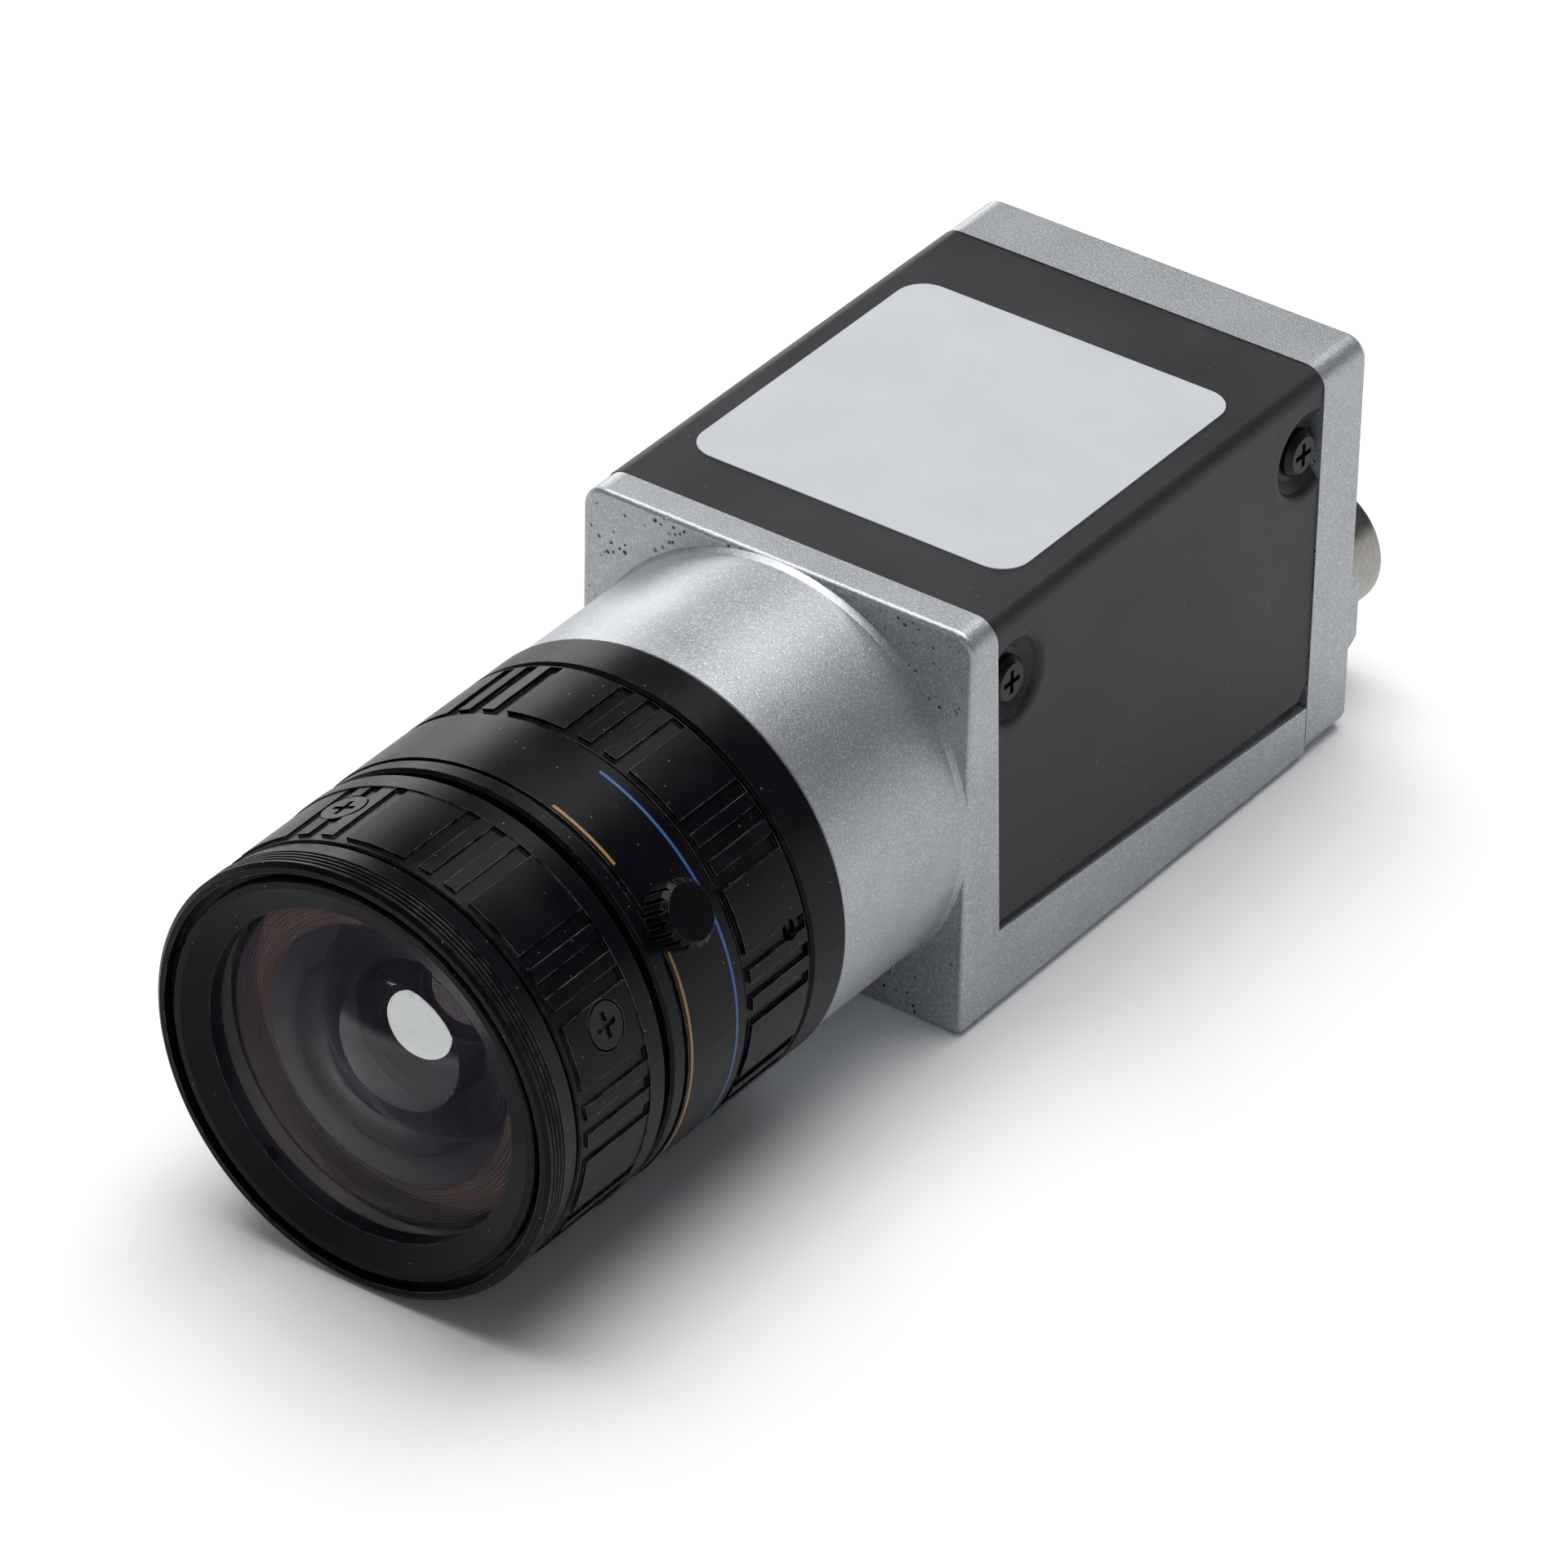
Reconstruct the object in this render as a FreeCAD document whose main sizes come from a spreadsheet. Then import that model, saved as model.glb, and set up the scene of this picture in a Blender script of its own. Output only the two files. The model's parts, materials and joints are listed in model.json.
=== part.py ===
"""Machine vision camera: a 29 mm square Ethernet camera with an 8 mm C-mount lens.

Frame: the origin is on the underside, midway between the four base screw holes.
+X is the camera's side with the round power socket, +Y points back from the lens
to the sockets and +Z is up. All sizes are millimetres.

Stations called forward are measured from the front face of the housing towards the
subject, along the optical axis. Stations called back are measured from the same face
towards the sockets.
"""
import FreeCAD
import Part
import math
import os
import re

import Sketcher
from FreeCAD import Placement, Rotation, Vector

SIZES = {
    # body and front casting
    "body_width": 29.0,
    "body_height": 29.0,
    "axis_height": 14.5,
    "front_face": -18.0,
    "corner_round": 1.6,
    "base_edge_round": 0.8,
    "face_edge_round": 0.4,
    "flange_top": 2.4,
    "flange_foot": 3.7,
    "strip_front_height": 5.9,
    "strip_rear_height": 3.95,
    "strip_length": 38.0,
    "strip_wall": 2.5,
    "tray_floor": 3.6,
    "tray_start": 5.4,
    "lip_height": 8.4,
    "lip_outer": 13.45,
    "lip_inner": 12.55,
    "lip_start": 4.4,
    "lip_end": 36.4,
    # lens mount tube
    "tube_radius": 14.3,
    "tube_length": 12.6,
    "tube_root_width": 0.45,
    "tube_root_radius": 14.49,
    "tube_front_chamfer": 0.15,
    "mount_bore_radius": 12.55,
    "mount_bore_end": 7.5,
    "filter_bore_radius": 10.8,
    "filter_seat": 4.0,
    "light_bore_radius": 9.2,
    # sheet metal cover
    "cover_half_width": 14.4,
    "cover_top": 28.9,
    "cover_sheet": 0.8,
    "cover_bend": 1.1,
    "cover_gap": 0.06,
    "cover_rear": 38.03,
    "cover_front_bottom": 6.6,
    "cover_rear_bottom": 4.85,
    "cover_clip_start": 37.0,
    "cover_clip_rise": 1.2,
    # side screws and the dimples they sit in
    "side_screw_height": 23.6,
    "front_screw_back": 4.5,
    "rear_screw_back": 36.4,
    "dimple_depth": 0.9,
    "dimple_rim": 3.4,
    "dimple_floor": 2.0,
    "dimple_curve": 0.7694,
    "side_hole_radius": 1.1,
    "side_tap_radius": 0.8,
    "side_head_radius": 1.6,
    "side_head_height": 0.75,
    "side_shank_radius": 0.78,
    "side_shank_length": 2.6,
    "recess_width": 0.38,
    "recess_length": 1.7,
    "recess_depth": 0.42,
    "ear_inner": 10.6,
    "ear_outer": 12.66,
    "ear_bottom": 21.2,
    "ear_top": 26.0,
    "front_ear_end": 6.3,
    "rear_ear_start": 34.2,
    # base screw holes
    "base_hole_radius": 1.25,
    "base_hole_depth": 3.0,
    "base_spacing_across": 20.0,
    "base_spacing_along": 22.0,
    # label plate
    "label_width": 24.2,
    "label_length": 24.8,
    "label_middle": 19.5,
    "label_thickness": 0.08,
    "label_round": 2.0,
    # rear casting
    "plate_front": 38.1,
    "plate_rear": 43.0,
    "plate_round": 1.5,
    "plate_edge_round": 0.5,
    "boss_radius": 6.7,
    "boss_height": 0.55,
    "boss_side": 14.5,
    "boss_trim": 3.0,
    "tongue_side": 11.7,
    "tongue_edge": 1.5,
    "tongue_bottom": 3.65,
    "tongue_top": 6.4,
    "tongue_start": 34.6,
    # Ethernet socket
    "jack_width": 16.0,
    "jack_height": 13.2,
    "jack_middle": 21.0,
    "jack_front": 25.25,
    "jack_sheet": 0.3,
    "jack_clearance": 0.12,
    "socket_width": 11.9,
    "socket_height": 6.9,
    "socket_depth": 12.0,
    "socket_middle": 21.6,
    "latch_width": 6.4,
    "latch_drop": 1.5,
    "latch_narrow": 3.9,
    "latch_deep": 2.9,
    "contact_count": 8,
    "contact_pitch": 1.02,
    "contact_thickness": 0.32,
    "contact_length": 7.5,
    "contact_tilt": 14.0,
    "contact_drop": 2.0,
    "lock_spacing": 23.2,
    "lock_hole_radius": 0.8,
    "lock_hole_depth": 4.0,
    # round power socket
    "power_side": 8.1,
    "power_height": 8.6,
    "power_radius": 4.69,
    "power_hole": 4.75,
    "power_mouth": 3.75,
    "power_seat_step": 0.4,
    "power_seat_gap": 0.05,
    "power_flange_radius": 4.95,
    "power_flange_front": 36.9,
    "power_floor": 44.2,
    "power_rear": 48.9,
    "power_slot_width": 1.3,
    "power_slot_count": 3,
    "power_slot_inner": 2.0,
    "power_slot_length": 1.1,
    "power_slot_start": 44.5,
    "power_slot_angle": 30.0,
    "power_pin_count": 6,
    "power_pin_circle": 1.9,
    "power_pin_radius": 0.4,
    "power_pin_end": 47.8,
    "power_board_back": 33.2,
    "power_board_size": 10.4,
    "power_board_trim": 1.0,
    "power_header_size": 7.0,
    "power_header_height": 2.4,
    # status light
    "light_side": -8.4,
    "light_radius": 1.4,
    "light_hole": 1.5,
    "light_proud": 0.15,
    # circuit boards and image sensor
    "board_half_width": 11.8,
    "board_bottom": 4.4,
    "board_top": 27.4,
    "board_thickness": 1.2,
    "sensor_board_back": 6.6,
    "processor_board_back": 14.2,
    "interface_board_back": 24.0,
    "spacer_side": 10.2,
    "spacer_low": 6.4,
    "spacer_high": 19.4,
    "spacer_radius": 1.6,
    "spacer_hole": 1.05,
    "board_screw_radius": 1.0,
    "board_screw_head": 1.7,
    "board_screw_head_height": 0.5,
    "package_size": 14.0,
    "package_front": 4.55,
    "cavity_size": 10.8,
    "window_size": 12.4,
    "window_thickness": 0.5,
    "sensor_plane": 4.93,
    "die_thickness": 0.4,
    "die_width": 7.6,
    "die_height": 6.2,
    "large_chip": 11.0,
    "small_chip": 7.0,
    "chip_height": 1.3,
    "mezzanine_width": 16.0,
    "mezzanine_height": 3.2,
    # filter in the mount tube
    "filter_radius": 10.5,
    "filter_thickness": 1.0,
    "filter_ring_outer": 10.7,
    "filter_ring_inner": 9.4,
    "filter_ring_width": 1.1,
    # lens barrel that screws into the mount
    "lens_radius": 14.5,
    "lens_chamfer": 0.2,
    "nose_radius": 12.5,
    "nose_end": 8.8,
    "nose_bore": 9.5,
    "shoulder_end": 16.05,
    "sleeve_radius": 12.6,
    "sleeve_bore": 11.2,
    "sleeve_end": 31.0,
    "rear_cell_seat": 13.5,
    # iris ring
    "iris_ring_start": 16.25,
    "iris_ring_end": 22.45,
    "iris_ring_bore": 12.68,
    "iris_pad_angle": 26.05,
    "iris_groove_start": 16.5,
    "iris_groove_length": 5.62,
    # ribbed pattern of both rings
    "groove_groups": 10,
    "groove_width": 1.0,
    "groove_depth": 0.26,
    "groove_lean": -2.0,
    "groove_side_angle": 7.6,
    # iris drive
    "drive_screw_angle": 13.5,
    "drive_screw_station": 17.85,
    "drive_screw_radius": 0.6,
    "drive_screw_head": 14.0,
    "drive_screw_tip": 10.15,
    "drive_hole_radius": 0.68,
    "drive_slot_width": 1.36,
    "drive_slot_margin": 5.0,
    "iris_turn_range": 54.0,
    "drive_ring_start": 17.1,
    "drive_rim_end": 19.2,
    "drive_ring_radius": 11.12,
    "drive_rim_inner": 10.1,
    "drive_web_start": 18.5,
    "drive_web_bore": 5.0,
    # iris blades
    "blade_count": 6,
    "blade_pivot_radius": 9.4,
    "blade_thickness": 0.08,
    "blade_pitch": 0.16,
    "blade_first": 19.4,
    "blade_inner": 4.6,
    "blade_outer": 7.9,
    "blade_lobe": 10.15,
    "blade_heel_angle": -5.0,
    "blade_lobe_angle": 23.0,
    "blade_tip_angle": 118.0,
    "blade_turn_range": 22.7,
    "blade_cam_angle": 18.0,
    "blade_pin_radius": 0.3,
    "cam_slot_half_width": 0.37,
    "cam_slot_end_radius": 0.38,
    "cage_start": 20.5,
    "cage_thickness": 0.6,
    "cage_radius": 11.17,
    "cage_bore": 4.4,
    "cage_hole_radius": 0.38,
    "blade_pivot_pin": 0.32,
    "blade_pin_gap": 0.1,
    # fixed index band
    "band_start": 22.65,
    "band_end": 28.55,
    "band_bore": 12.62,
    "band_counterbore": 13.42,
    "band_counterbore_start": 24.2,
    "band_groove_end": 28.85,
    "band_groove_radius": 14.25,
    "band_collar_radius": 14.42,
    "band_collar_end": 29.95,
    # lock screw
    "knob_angle": 35.3,
    "knob_station": 27.0,
    "knob_radius": 2.1,
    "knob_base": 14.62,
    "knob_top": 16.45,
    "knob_chamfer": 0.32,
    "knob_ridges": 18,
    "knob_ridge_depth": 0.26,
    "knob_shank_radius": 0.8,
    "knob_hole_radius": 0.88,
    "knob_tip": 13.62,
    "pad_tip": 13.34,
    # focus ring, its sleeve and screws
    "focus_ring_start": 30.7,
    "focus_ring_end": 38.8,
    "focus_ring_bore": 13.34,
    "focus_land_step": 0.08,
    "focus_pad_angle": 23.85,
    "focus_groove_start": 32.25,
    "focus_groove_length": 6.0,
    "focus_sleeve_start": 25.0,
    "focus_sleeve_end": 38.6,
    "focus_sleeve_radius": 13.32,
    "focus_sleeve_bore": 12.72,
    "ring_screw_angle": 23.85,
    "ring_screw_station": 34.9,
    "ring_screw_count": 4,
    "ring_screw_head_radius": 1.42,
    "ring_screw_sink_radius": 1.55,
    "ring_screw_sink": 13.85,
    "ring_screw_top": 14.4,
    "ring_screw_shank_radius": 0.6,
    "ring_screw_tip": 12.85,
    # focusing cell and front rim
    "cell_rear": 23.5,
    "cell_inner_radius": 11.05,
    "cell_step": 31.4,
    "cell_outer_radius": 12.6,
    "rim_rear": 38.95,
    "rim_radius": 14.4,
    "rim_neck_radius": 14.2,
    "rim_grooves_start": 40.4,
    "rim_groove_pitch": 0.32,
    "rim_groove_width": 0.22,
    "rim_groove_depth": 0.14,
    "rim_groove_count": 4,
    "rim_front": 42.0,
    "rim_edge_radius": 14.1,
    "rim_edge_width": 0.25,
    "rim_bore": 13.75,
    "rim_recess": 41.2,
    "thread_bore": 13.25,
    "thread_end": 39.5,
    "front_glass_bore": 11.45,
    "front_glass_seat": 36.0,
    "baffle_bore": 9.25,
    "baffle_seat": 32.4,
    "second_bore": 8.05,
    # front retaining ring
    "retainer_radius": 13.2,
    "retainer_front": 41.87,
    "retainer_flat": 12.67,
    "retainer_throat": 11.05,
    "retainer_cone_end": 41.1,
    "retainer_seat": 39.95,
    # glass
    "front_glass_radius": 11.4,
    "front_glass_apex": 41.67,
    "front_glass_curve": 36.0,
    "front_glass_rear_apex": 39.87,
    "front_glass_rear_curve": 11.5,
    "second_glass_radius": 8.0,
    "second_glass_rear": 29.4,
    "second_glass_apex": 32.2,
    "second_glass_curve": 20.0,
    "second_ring_start": 27.9,
    "second_ring_bore": 6.6,
    "doublet_radius": 7.4,
    "doublet_rear": 14.6,
    "doublet_front": 18.2,
    "glass_bevel": 0.5,
    "rear_glass_radius": 6.6,
    "rear_glass_seat": 12.6,
    "rear_throat": 6.0,
    # rear cell
    "rear_cell_nose": 9.35,
    "rear_cell_start": 9.0,
    "rear_cell_flange": 11.15,
    "rear_cell_flange_end": 16.2,
    "rear_cell_neck": 9.4,
    "rear_cell_end": 18.4,
    "rear_ring_bore": 5.6,
    "rear_ring_front": 10.6,
    # baffle steps between the two front glasses
    "baffle_radius": 9.2,
    "baffle_front": 35.9,
    "baffle_mouth": 8.5,
    "baffle_steps": 3,
    "baffle_step_in": 0.7,
}

doc = FreeCAD.newDocument("machine_vision_camera")
sheet = doc.addObject("Spreadsheet::Sheet", "Sizes")
for row, (name, value) in enumerate(SIZES.items(), start=1):
    sheet.set(f"A{row}", name)
    sheet.set(f"B{row}", str(value))
    sheet.setAlias(f"B{row}", name)
doc.recompute()

NODES = []
CUTS = []
# Edges that lie this close to a plane belong to it.
NEAR = 0.1

X_AXIS = Vector(1, 0, 0)
Y_AXIS = Vector(0, 1, 0)
Z_AXIS = Vector(0, 0, 1)
CAMERA_TURN = Rotation()
LENS_TURN = Rotation(X_AXIS, 90)
ALONG = {
    "x": Rotation(Y_AXIS, 90),
    "y": Rotation(X_AXIS, -90),
    "z": Rotation(),
    "forward": Rotation(X_AXIS, 90),
}


def factor(word):
    """One number, sheet name, cosine or sine of a product."""
    if word.startswith("cos("):
        return math.cos(math.radians(factor(word[4:-1])))
    if word.startswith("sin("):
        return math.sin(math.radians(factor(word[4:-1])))
    return SIZES[word] if word in SIZES else float(word)


def number(text):
    """The value of a sum of sheet names, such as 'body_width/2 - strip_wall'."""
    total = 0.0
    sign = 1
    for word in text.split():
        if word in ("+", "-"):
            sign = 1 if word == "+" else -1
            continue
        product = sign
        for term in word.split("*"):
            parts = term.split("/")
            product *= factor(parts[0])
            for divisor in parts[1:]:
                product /= factor(divisor)
        total += product
        sign = 1
    return total


def formula(text):
    """The same sum as an expression on the spreadsheet."""
    return re.sub(r"\b[a-z_]{2,}\b(?!\()", lambda found: "Sizes." + found.group(0), text)


def polar(radius, angle):
    """A corner given by its distance from the sketch origin and its angle."""
    return f"{radius}*cos({angle})", f"{radius}*sin({angle})"


def bind(thing, path, text):
    thing.setExpression(path, formula(text))


def place(thing, x, y, z, turn=CAMERA_TURN):
    """Placement whose base follows the sheet."""
    thing.Placement = Placement(Vector(number(x), number(y), number(z)), turn)
    bind(thing, "Placement.Base.x", x)
    bind(thing, "Placement.Base.y", y)
    bind(thing, "Placement.Base.z", z)
    return thing


def node(thing):
    NODES.append(thing)
    return thing


# ---------------------------------------------------------------- sketches and features

def new_body(label):
    """Body with the camera's axes, its own origin on the front face."""
    body = doc.addObject("PartDesign::Body", label)
    return place(body, "0", "front_face", "0")


def new_lens_body(label, spin=0):
    """Body whose Z runs forward along the optical axis from the front face."""
    body = doc.addObject("PartDesign::Body", label)
    return place(body, "0", "front_face", "axis_height", LENS_TURN * Rotation(Z_AXIS, spin))


def new_radial_body(label, station, angle):
    """Body whose Z points outwards from the optical axis at an angle from +X."""
    body = doc.addObject("PartDesign::Body", label)
    turn = Rotation(Y_AXIS, 90 - angle)
    return place(body, "0", "front_face - " + station, "axis_height", turn)


def origin_plane(body, role):
    return [item for item in body.Origin.OriginFeatures if item.Role == role][0]


def new_sketch(body, role, name, offset=("0", "0", "0"), turn=CAMERA_TURN):
    sketch = body.newObject("Sketcher::SketchObject", f"{body.Label}_{name}")
    sketch.AttachmentSupport = (origin_plane(body, role), [""])
    sketch.MapMode = "FlatFace"
    sketch.AttachmentOffset = Placement(Vector(*[number(text) for text in offset]), turn)
    for axis, text in zip("xyz", offset):
        if text != "0":
            bind(sketch, f"AttachmentOffset.Base.{axis}", text)
    return sketch


def fix_point(sketch, edge, end, x, y):
    """Hold one point of the sketch at sheet values from its origin."""
    for kind, text in (("DistanceX", x), ("DistanceY", y)):
        index = sketch.addConstraint(
            Sketcher.Constraint(kind, -1, 1, edge, end, number(text)))
        if not text.replace(".", "").isdigit():
            bind(sketch, f"Constraints[{index}]", text)


def arc_edge(start, finish, radius, side):
    """Arc of a known radius with its centre left or right of the way travelled."""
    way = finish - start
    left = Vector(-way.y, way.x, 0).normalize()
    height = math.sqrt(max(radius ** 2 - way.Length ** 2 / 4, 0))
    centre = (start + finish) / 2 + left * (height if side == "left" else -height)
    first, last = (start, finish) if side == "left" else (finish, start)
    circle = Part.Circle(centre, Z_AXIS, radius)
    angles = [math.atan2((end - centre).y, (end - centre).x) for end in (first, last)]
    return Part.ArcOfCircle(circle, angles[0], angles[1])


def draw(sketch, corners):
    """Closed outline. A corner is (x, y), or (x, y, radius, side) to leave on an arc."""
    points = [Vector(number(corner[0]), number(corner[1]), 0) for corner in corners]
    ends = []
    first = len(sketch.Geometry)
    for index, corner in enumerate(corners):
        start = points[index]
        finish = points[(index + 1) % len(points)]
        if len(corner) == 2:
            edge = sketch.addGeometry(Part.LineSegment(start, finish), False)
            ends.append((edge, 1, 2))
            continue
        arc = arc_edge(start, finish, number(corner[2]), corner[3])
        edge = sketch.addGeometry(arc, False)
        ends.append((edge, 1, 2) if corner[3] == "left" else (edge, 2, 1))
    for index, (edge, _, last) in enumerate(ends):
        following = ends[(index + 1) % len(ends)]
        sketch.addConstraint(
            Sketcher.Constraint("Coincident", edge, last, following[0], following[1]))
    for index, corner in enumerate(corners):
        edge, begin, _ = ends[index]
        fix_point(sketch, edge, begin, corner[0], corner[1])
        if len(corner) > 2:
            radius = sketch.addConstraint(
                Sketcher.Constraint("Radius", edge, number(corner[2])))
            bind(sketch, f"Constraints[{radius}]", corner[2])
    return first


def draw_circle(sketch, x, y, radius):
    centre = Vector(number(x), number(y), 0)
    edge = sketch.addGeometry(Part.Circle(centre, Z_AXIS, number(radius)), False)
    fix_point(sketch, edge, 3, x, y)
    index = sketch.addConstraint(Sketcher.Constraint("Radius", edge, number(radius)))
    bind(sketch, f"Constraints[{index}]", radius)


def draw_box(sketch, left, bottom, right, top):
    draw(sketch, [(left, bottom), (right, bottom), (right, top), (left, top)])


def extrude(kind, sketch, length, name, reverse=False, symmetric=False):
    body = sketch.getParentGeoFeatureGroup()
    feature = body.newObject("PartDesign::" + kind, f"{body.Label}_{name}")
    feature.Profile = sketch
    feature.Reversed = reverse
    if symmetric:
        feature.SideType = "Symmetric"
    bind(feature, "Length", length)
    body.Tip = feature
    if kind == "Pocket":
        CUTS.append(feature)
    return feature


def pad(sketch, length, name, **options):
    return extrude("Pad", sketch, length, name, **options)


def pocket(sketch, length, name, **options):
    return extrude("Pocket", sketch, length, name, **options)


def spin(kind, sketch, axis, name, angle=None):
    body = sketch.getParentGeoFeatureGroup()
    feature = body.newObject("PartDesign::" + kind, f"{body.Label}_{name}")
    feature.Profile = sketch
    feature.ReferenceAxis = (sketch, [axis])
    if angle is None:
        feature.Angle = 360
    else:
        feature.Midplane = True
        bind(feature, "Angle", angle)
    body.Tip = feature
    if kind == "Groove":
        CUTS.append(feature)
    return feature


def turned(label, corners, spin_angle=0):
    """Piece turned on the lathe: corners are (radius, forward station)."""
    body = new_lens_body(label, spin_angle)
    sketch = new_sketch(body, "XZ_Plane", "profile")
    draw(sketch, corners)
    spin("Revolution", sketch, "V_Axis", "turning")
    return body


def mirror(body, originals, role="YZ_Plane"):
    feature = body.newObject("PartDesign::Mirrored", f"{body.Label}_mirror")
    feature.Originals = originals
    feature.MirrorPlane = (origin_plane(body, role), [""])
    body.Tip = feature
    return feature


def round_edges(body, radius, name, chosen):
    """Fillet the edges of the body's tip that the test picks out."""
    doc.recompute()
    base = body.Tip
    picked = [f"Edge{index}" for index, edge in enumerate(base.Shape.Edges, start=1)
              if chosen(edge)]
    feature = body.newObject("PartDesign::Fillet", f"{body.Label}_{name}")
    feature.Base = (base, picked)
    bind(feature, "Radius", radius)
    body.Tip = feature
    return feature


def runs_along(edge, direction):
    """True for a straight edge parallel to the direction."""
    if edge.Curve.TypeId != "Part::GeomLine":
        return False
    return abs(edge.tangentAt(edge.FirstParameter).dot(direction)) > 0.999


# ---------------------------------------------------------------- primitives

def block(label, low, high):
    """Box between two corners given as sheet sums."""
    thing = doc.addObject("Part::Box", label)
    place(thing, *low)
    for prop, bottom, top in zip(("Length", "Width", "Height"), low, high):
        bind(thing, prop, f"({top}) - ({bottom})")
    return thing


def rod(label, radius, length, base, along="z"):
    thing = doc.addObject("Part::Cylinder", label)
    bind(thing, "Radius", radius)
    bind(thing, "Height", length)
    return place(thing, *base, ALONG[along])


def disc(label, radius, rear, front):
    """Plain disc on the optical axis between two forward stations."""
    base = ("0", "front_face - " + rear, "axis_height")
    return rod(label, radius, f"{front} - {rear}", base, "forward")


def ball(label, radius, apex, bulge="+"):
    """Sphere that grinds a glass face whose apex lies at a forward station.

    Its centre is behind the apex (+) or in front of it (-).
    """
    thing = doc.addObject("Part::Sphere", label)
    bind(thing, "Radius", radius)
    return place(thing, "0", f"front_face - {apex} {bulge} {radius}", "axis_height",
                 LENS_TURN)


def cut(label, base, tools):
    thing = doc.addObject("Part::Cut", label)
    thing.Base = base
    thing.Tool = tools if not isinstance(tools, list) else group(label + "_tools", tools)
    return thing


def common(label, first, second):
    thing = doc.addObject("Part::Common", label)
    thing.Base = first
    thing.Tool = second
    return thing


def group(label, members):
    """Several separate solids in one node."""
    thing = doc.addObject("Part::Compound", label)
    thing.Links = members
    return thing


def fused(label, members):
    thing = doc.addObject("Part::MultiFuse", label)
    thing.Shapes = members
    return thing


# ---------------------------------------------------------------- front casting

def front_housing():
    body = new_body("front_housing")
    side = new_sketch(body, "YZ_Plane", "side_profile")
    draw(side, [
        ("0", "0"),
        ("strip_length", "0"),
        ("strip_length", "strip_rear_height"),
        ("flange_foot", "strip_front_height"),
        ("flange_top", "body_height"),
        ("0", "body_height"),
    ])
    pad(side, "body_width", "casting", symmetric=True)
    half = SIZES["body_width"] / 2
    middle_height = SIZES["body_height"] / 2

    def upper_corner(edge):
        middle = edge.CenterOfMass
        return runs_along(edge, Y_AXIS) and abs(middle.x) > half - NEAR and middle.z > middle_height

    def base_corner(edge):
        middle = edge.CenterOfMass
        return runs_along(edge, Y_AXIS) and abs(middle.x) > half - NEAR and middle.z < NEAR

    def face_rim(edge):
        box = edge.BoundBox
        return box.YMax < NEAR

    round_edges(body, "corner_round", "upper_corners", upper_corner)
    round_edges(body, "base_edge_round", "base_corners", base_corner)
    round_edges(body, "face_edge_round", "face_rim", face_rim)

    tube = new_sketch(body, "YZ_Plane", "tube_profile", ("0", "axis_height", "0"))
    draw(tube, [
        ("flange_top/2", "light_bore_radius - 1"),
        ("flange_top/2", "tube_radius - tube_root_width"),
        ("0", "tube_root_radius"),
        ("- tube_root_width", "tube_radius"),
        ("tube_front_chamfer - tube_length", "tube_radius"),
        ("- tube_length", "tube_radius - tube_front_chamfer"),
        ("- tube_length", "light_bore_radius - 1"),
    ])
    spin("Revolution", tube, "H_Axis", "tube")

    tray = new_sketch(body, "XY_Plane", "tray", ("0", "0", "tray_floor"))
    wall = "body_width/2 - strip_wall"
    draw_box(tray, "strip_wall - body_width/2", "tray_start", wall, "strip_length + 1")
    pocket(tray, "10", "tray_pocket", reverse=True)

    lip = new_sketch(body, "XY_Plane", "lip", ("0", "0", "tray_floor/2"))
    draw_box(lip, "lip_inner", "lip_start", "lip_outer", "lip_end")
    lip_pad = pad(lip, "lip_height - tray_floor/2", "lip_pad")

    ear = new_sketch(body, "YZ_Plane", "ear", ("0", "0", "ear_inner"))
    draw_box(ear, "flange_top/2", "ear_bottom", "front_ear_end", "ear_top")
    ear_pad = pad(ear, "ear_outer - ear_inner", "ear_pad")
    mirror(body, [lip_pad, ear_pad])

    screw = new_sketch(body, "YZ_Plane", "ear_holes")
    draw_circle(screw, "front_screw_back", "side_screw_height", "side_tap_radius")
    pocket(screw, "body_width", "ear_tapping", symmetric=True)

    bore = new_sketch(body, "YZ_Plane", "bore_profile", ("0", "axis_height", "0"))
    draw(bore, [
        ("- tube_length - 1", "0"),
        ("- tube_length - 1", "mount_bore_radius"),
        ("- mount_bore_end", "mount_bore_radius"),
        ("- mount_bore_end", "filter_bore_radius"),
        ("- filter_seat", "filter_bore_radius"),
        ("- filter_seat", "light_bore_radius"),
        ("flange_foot + 1", "light_bore_radius"),
        ("flange_foot + 1", "0"),
    ])
    spin("Groove", bore, "H_Axis", "bore")

    holes = new_sketch(body, "XY_Plane", "base_holes")
    for across in ("base_spacing_across/2", "- base_spacing_across/2"):
        for along in ("- base_spacing_along/2", "+ base_spacing_along/2"):
            draw_circle(holes, across, "0 - front_face " + along, "base_hole_radius")
    pocket(holes, "base_hole_depth", "base_drilling", reverse=True)
    return node(body)


# ---------------------------------------------------------------- rear casting

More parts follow.
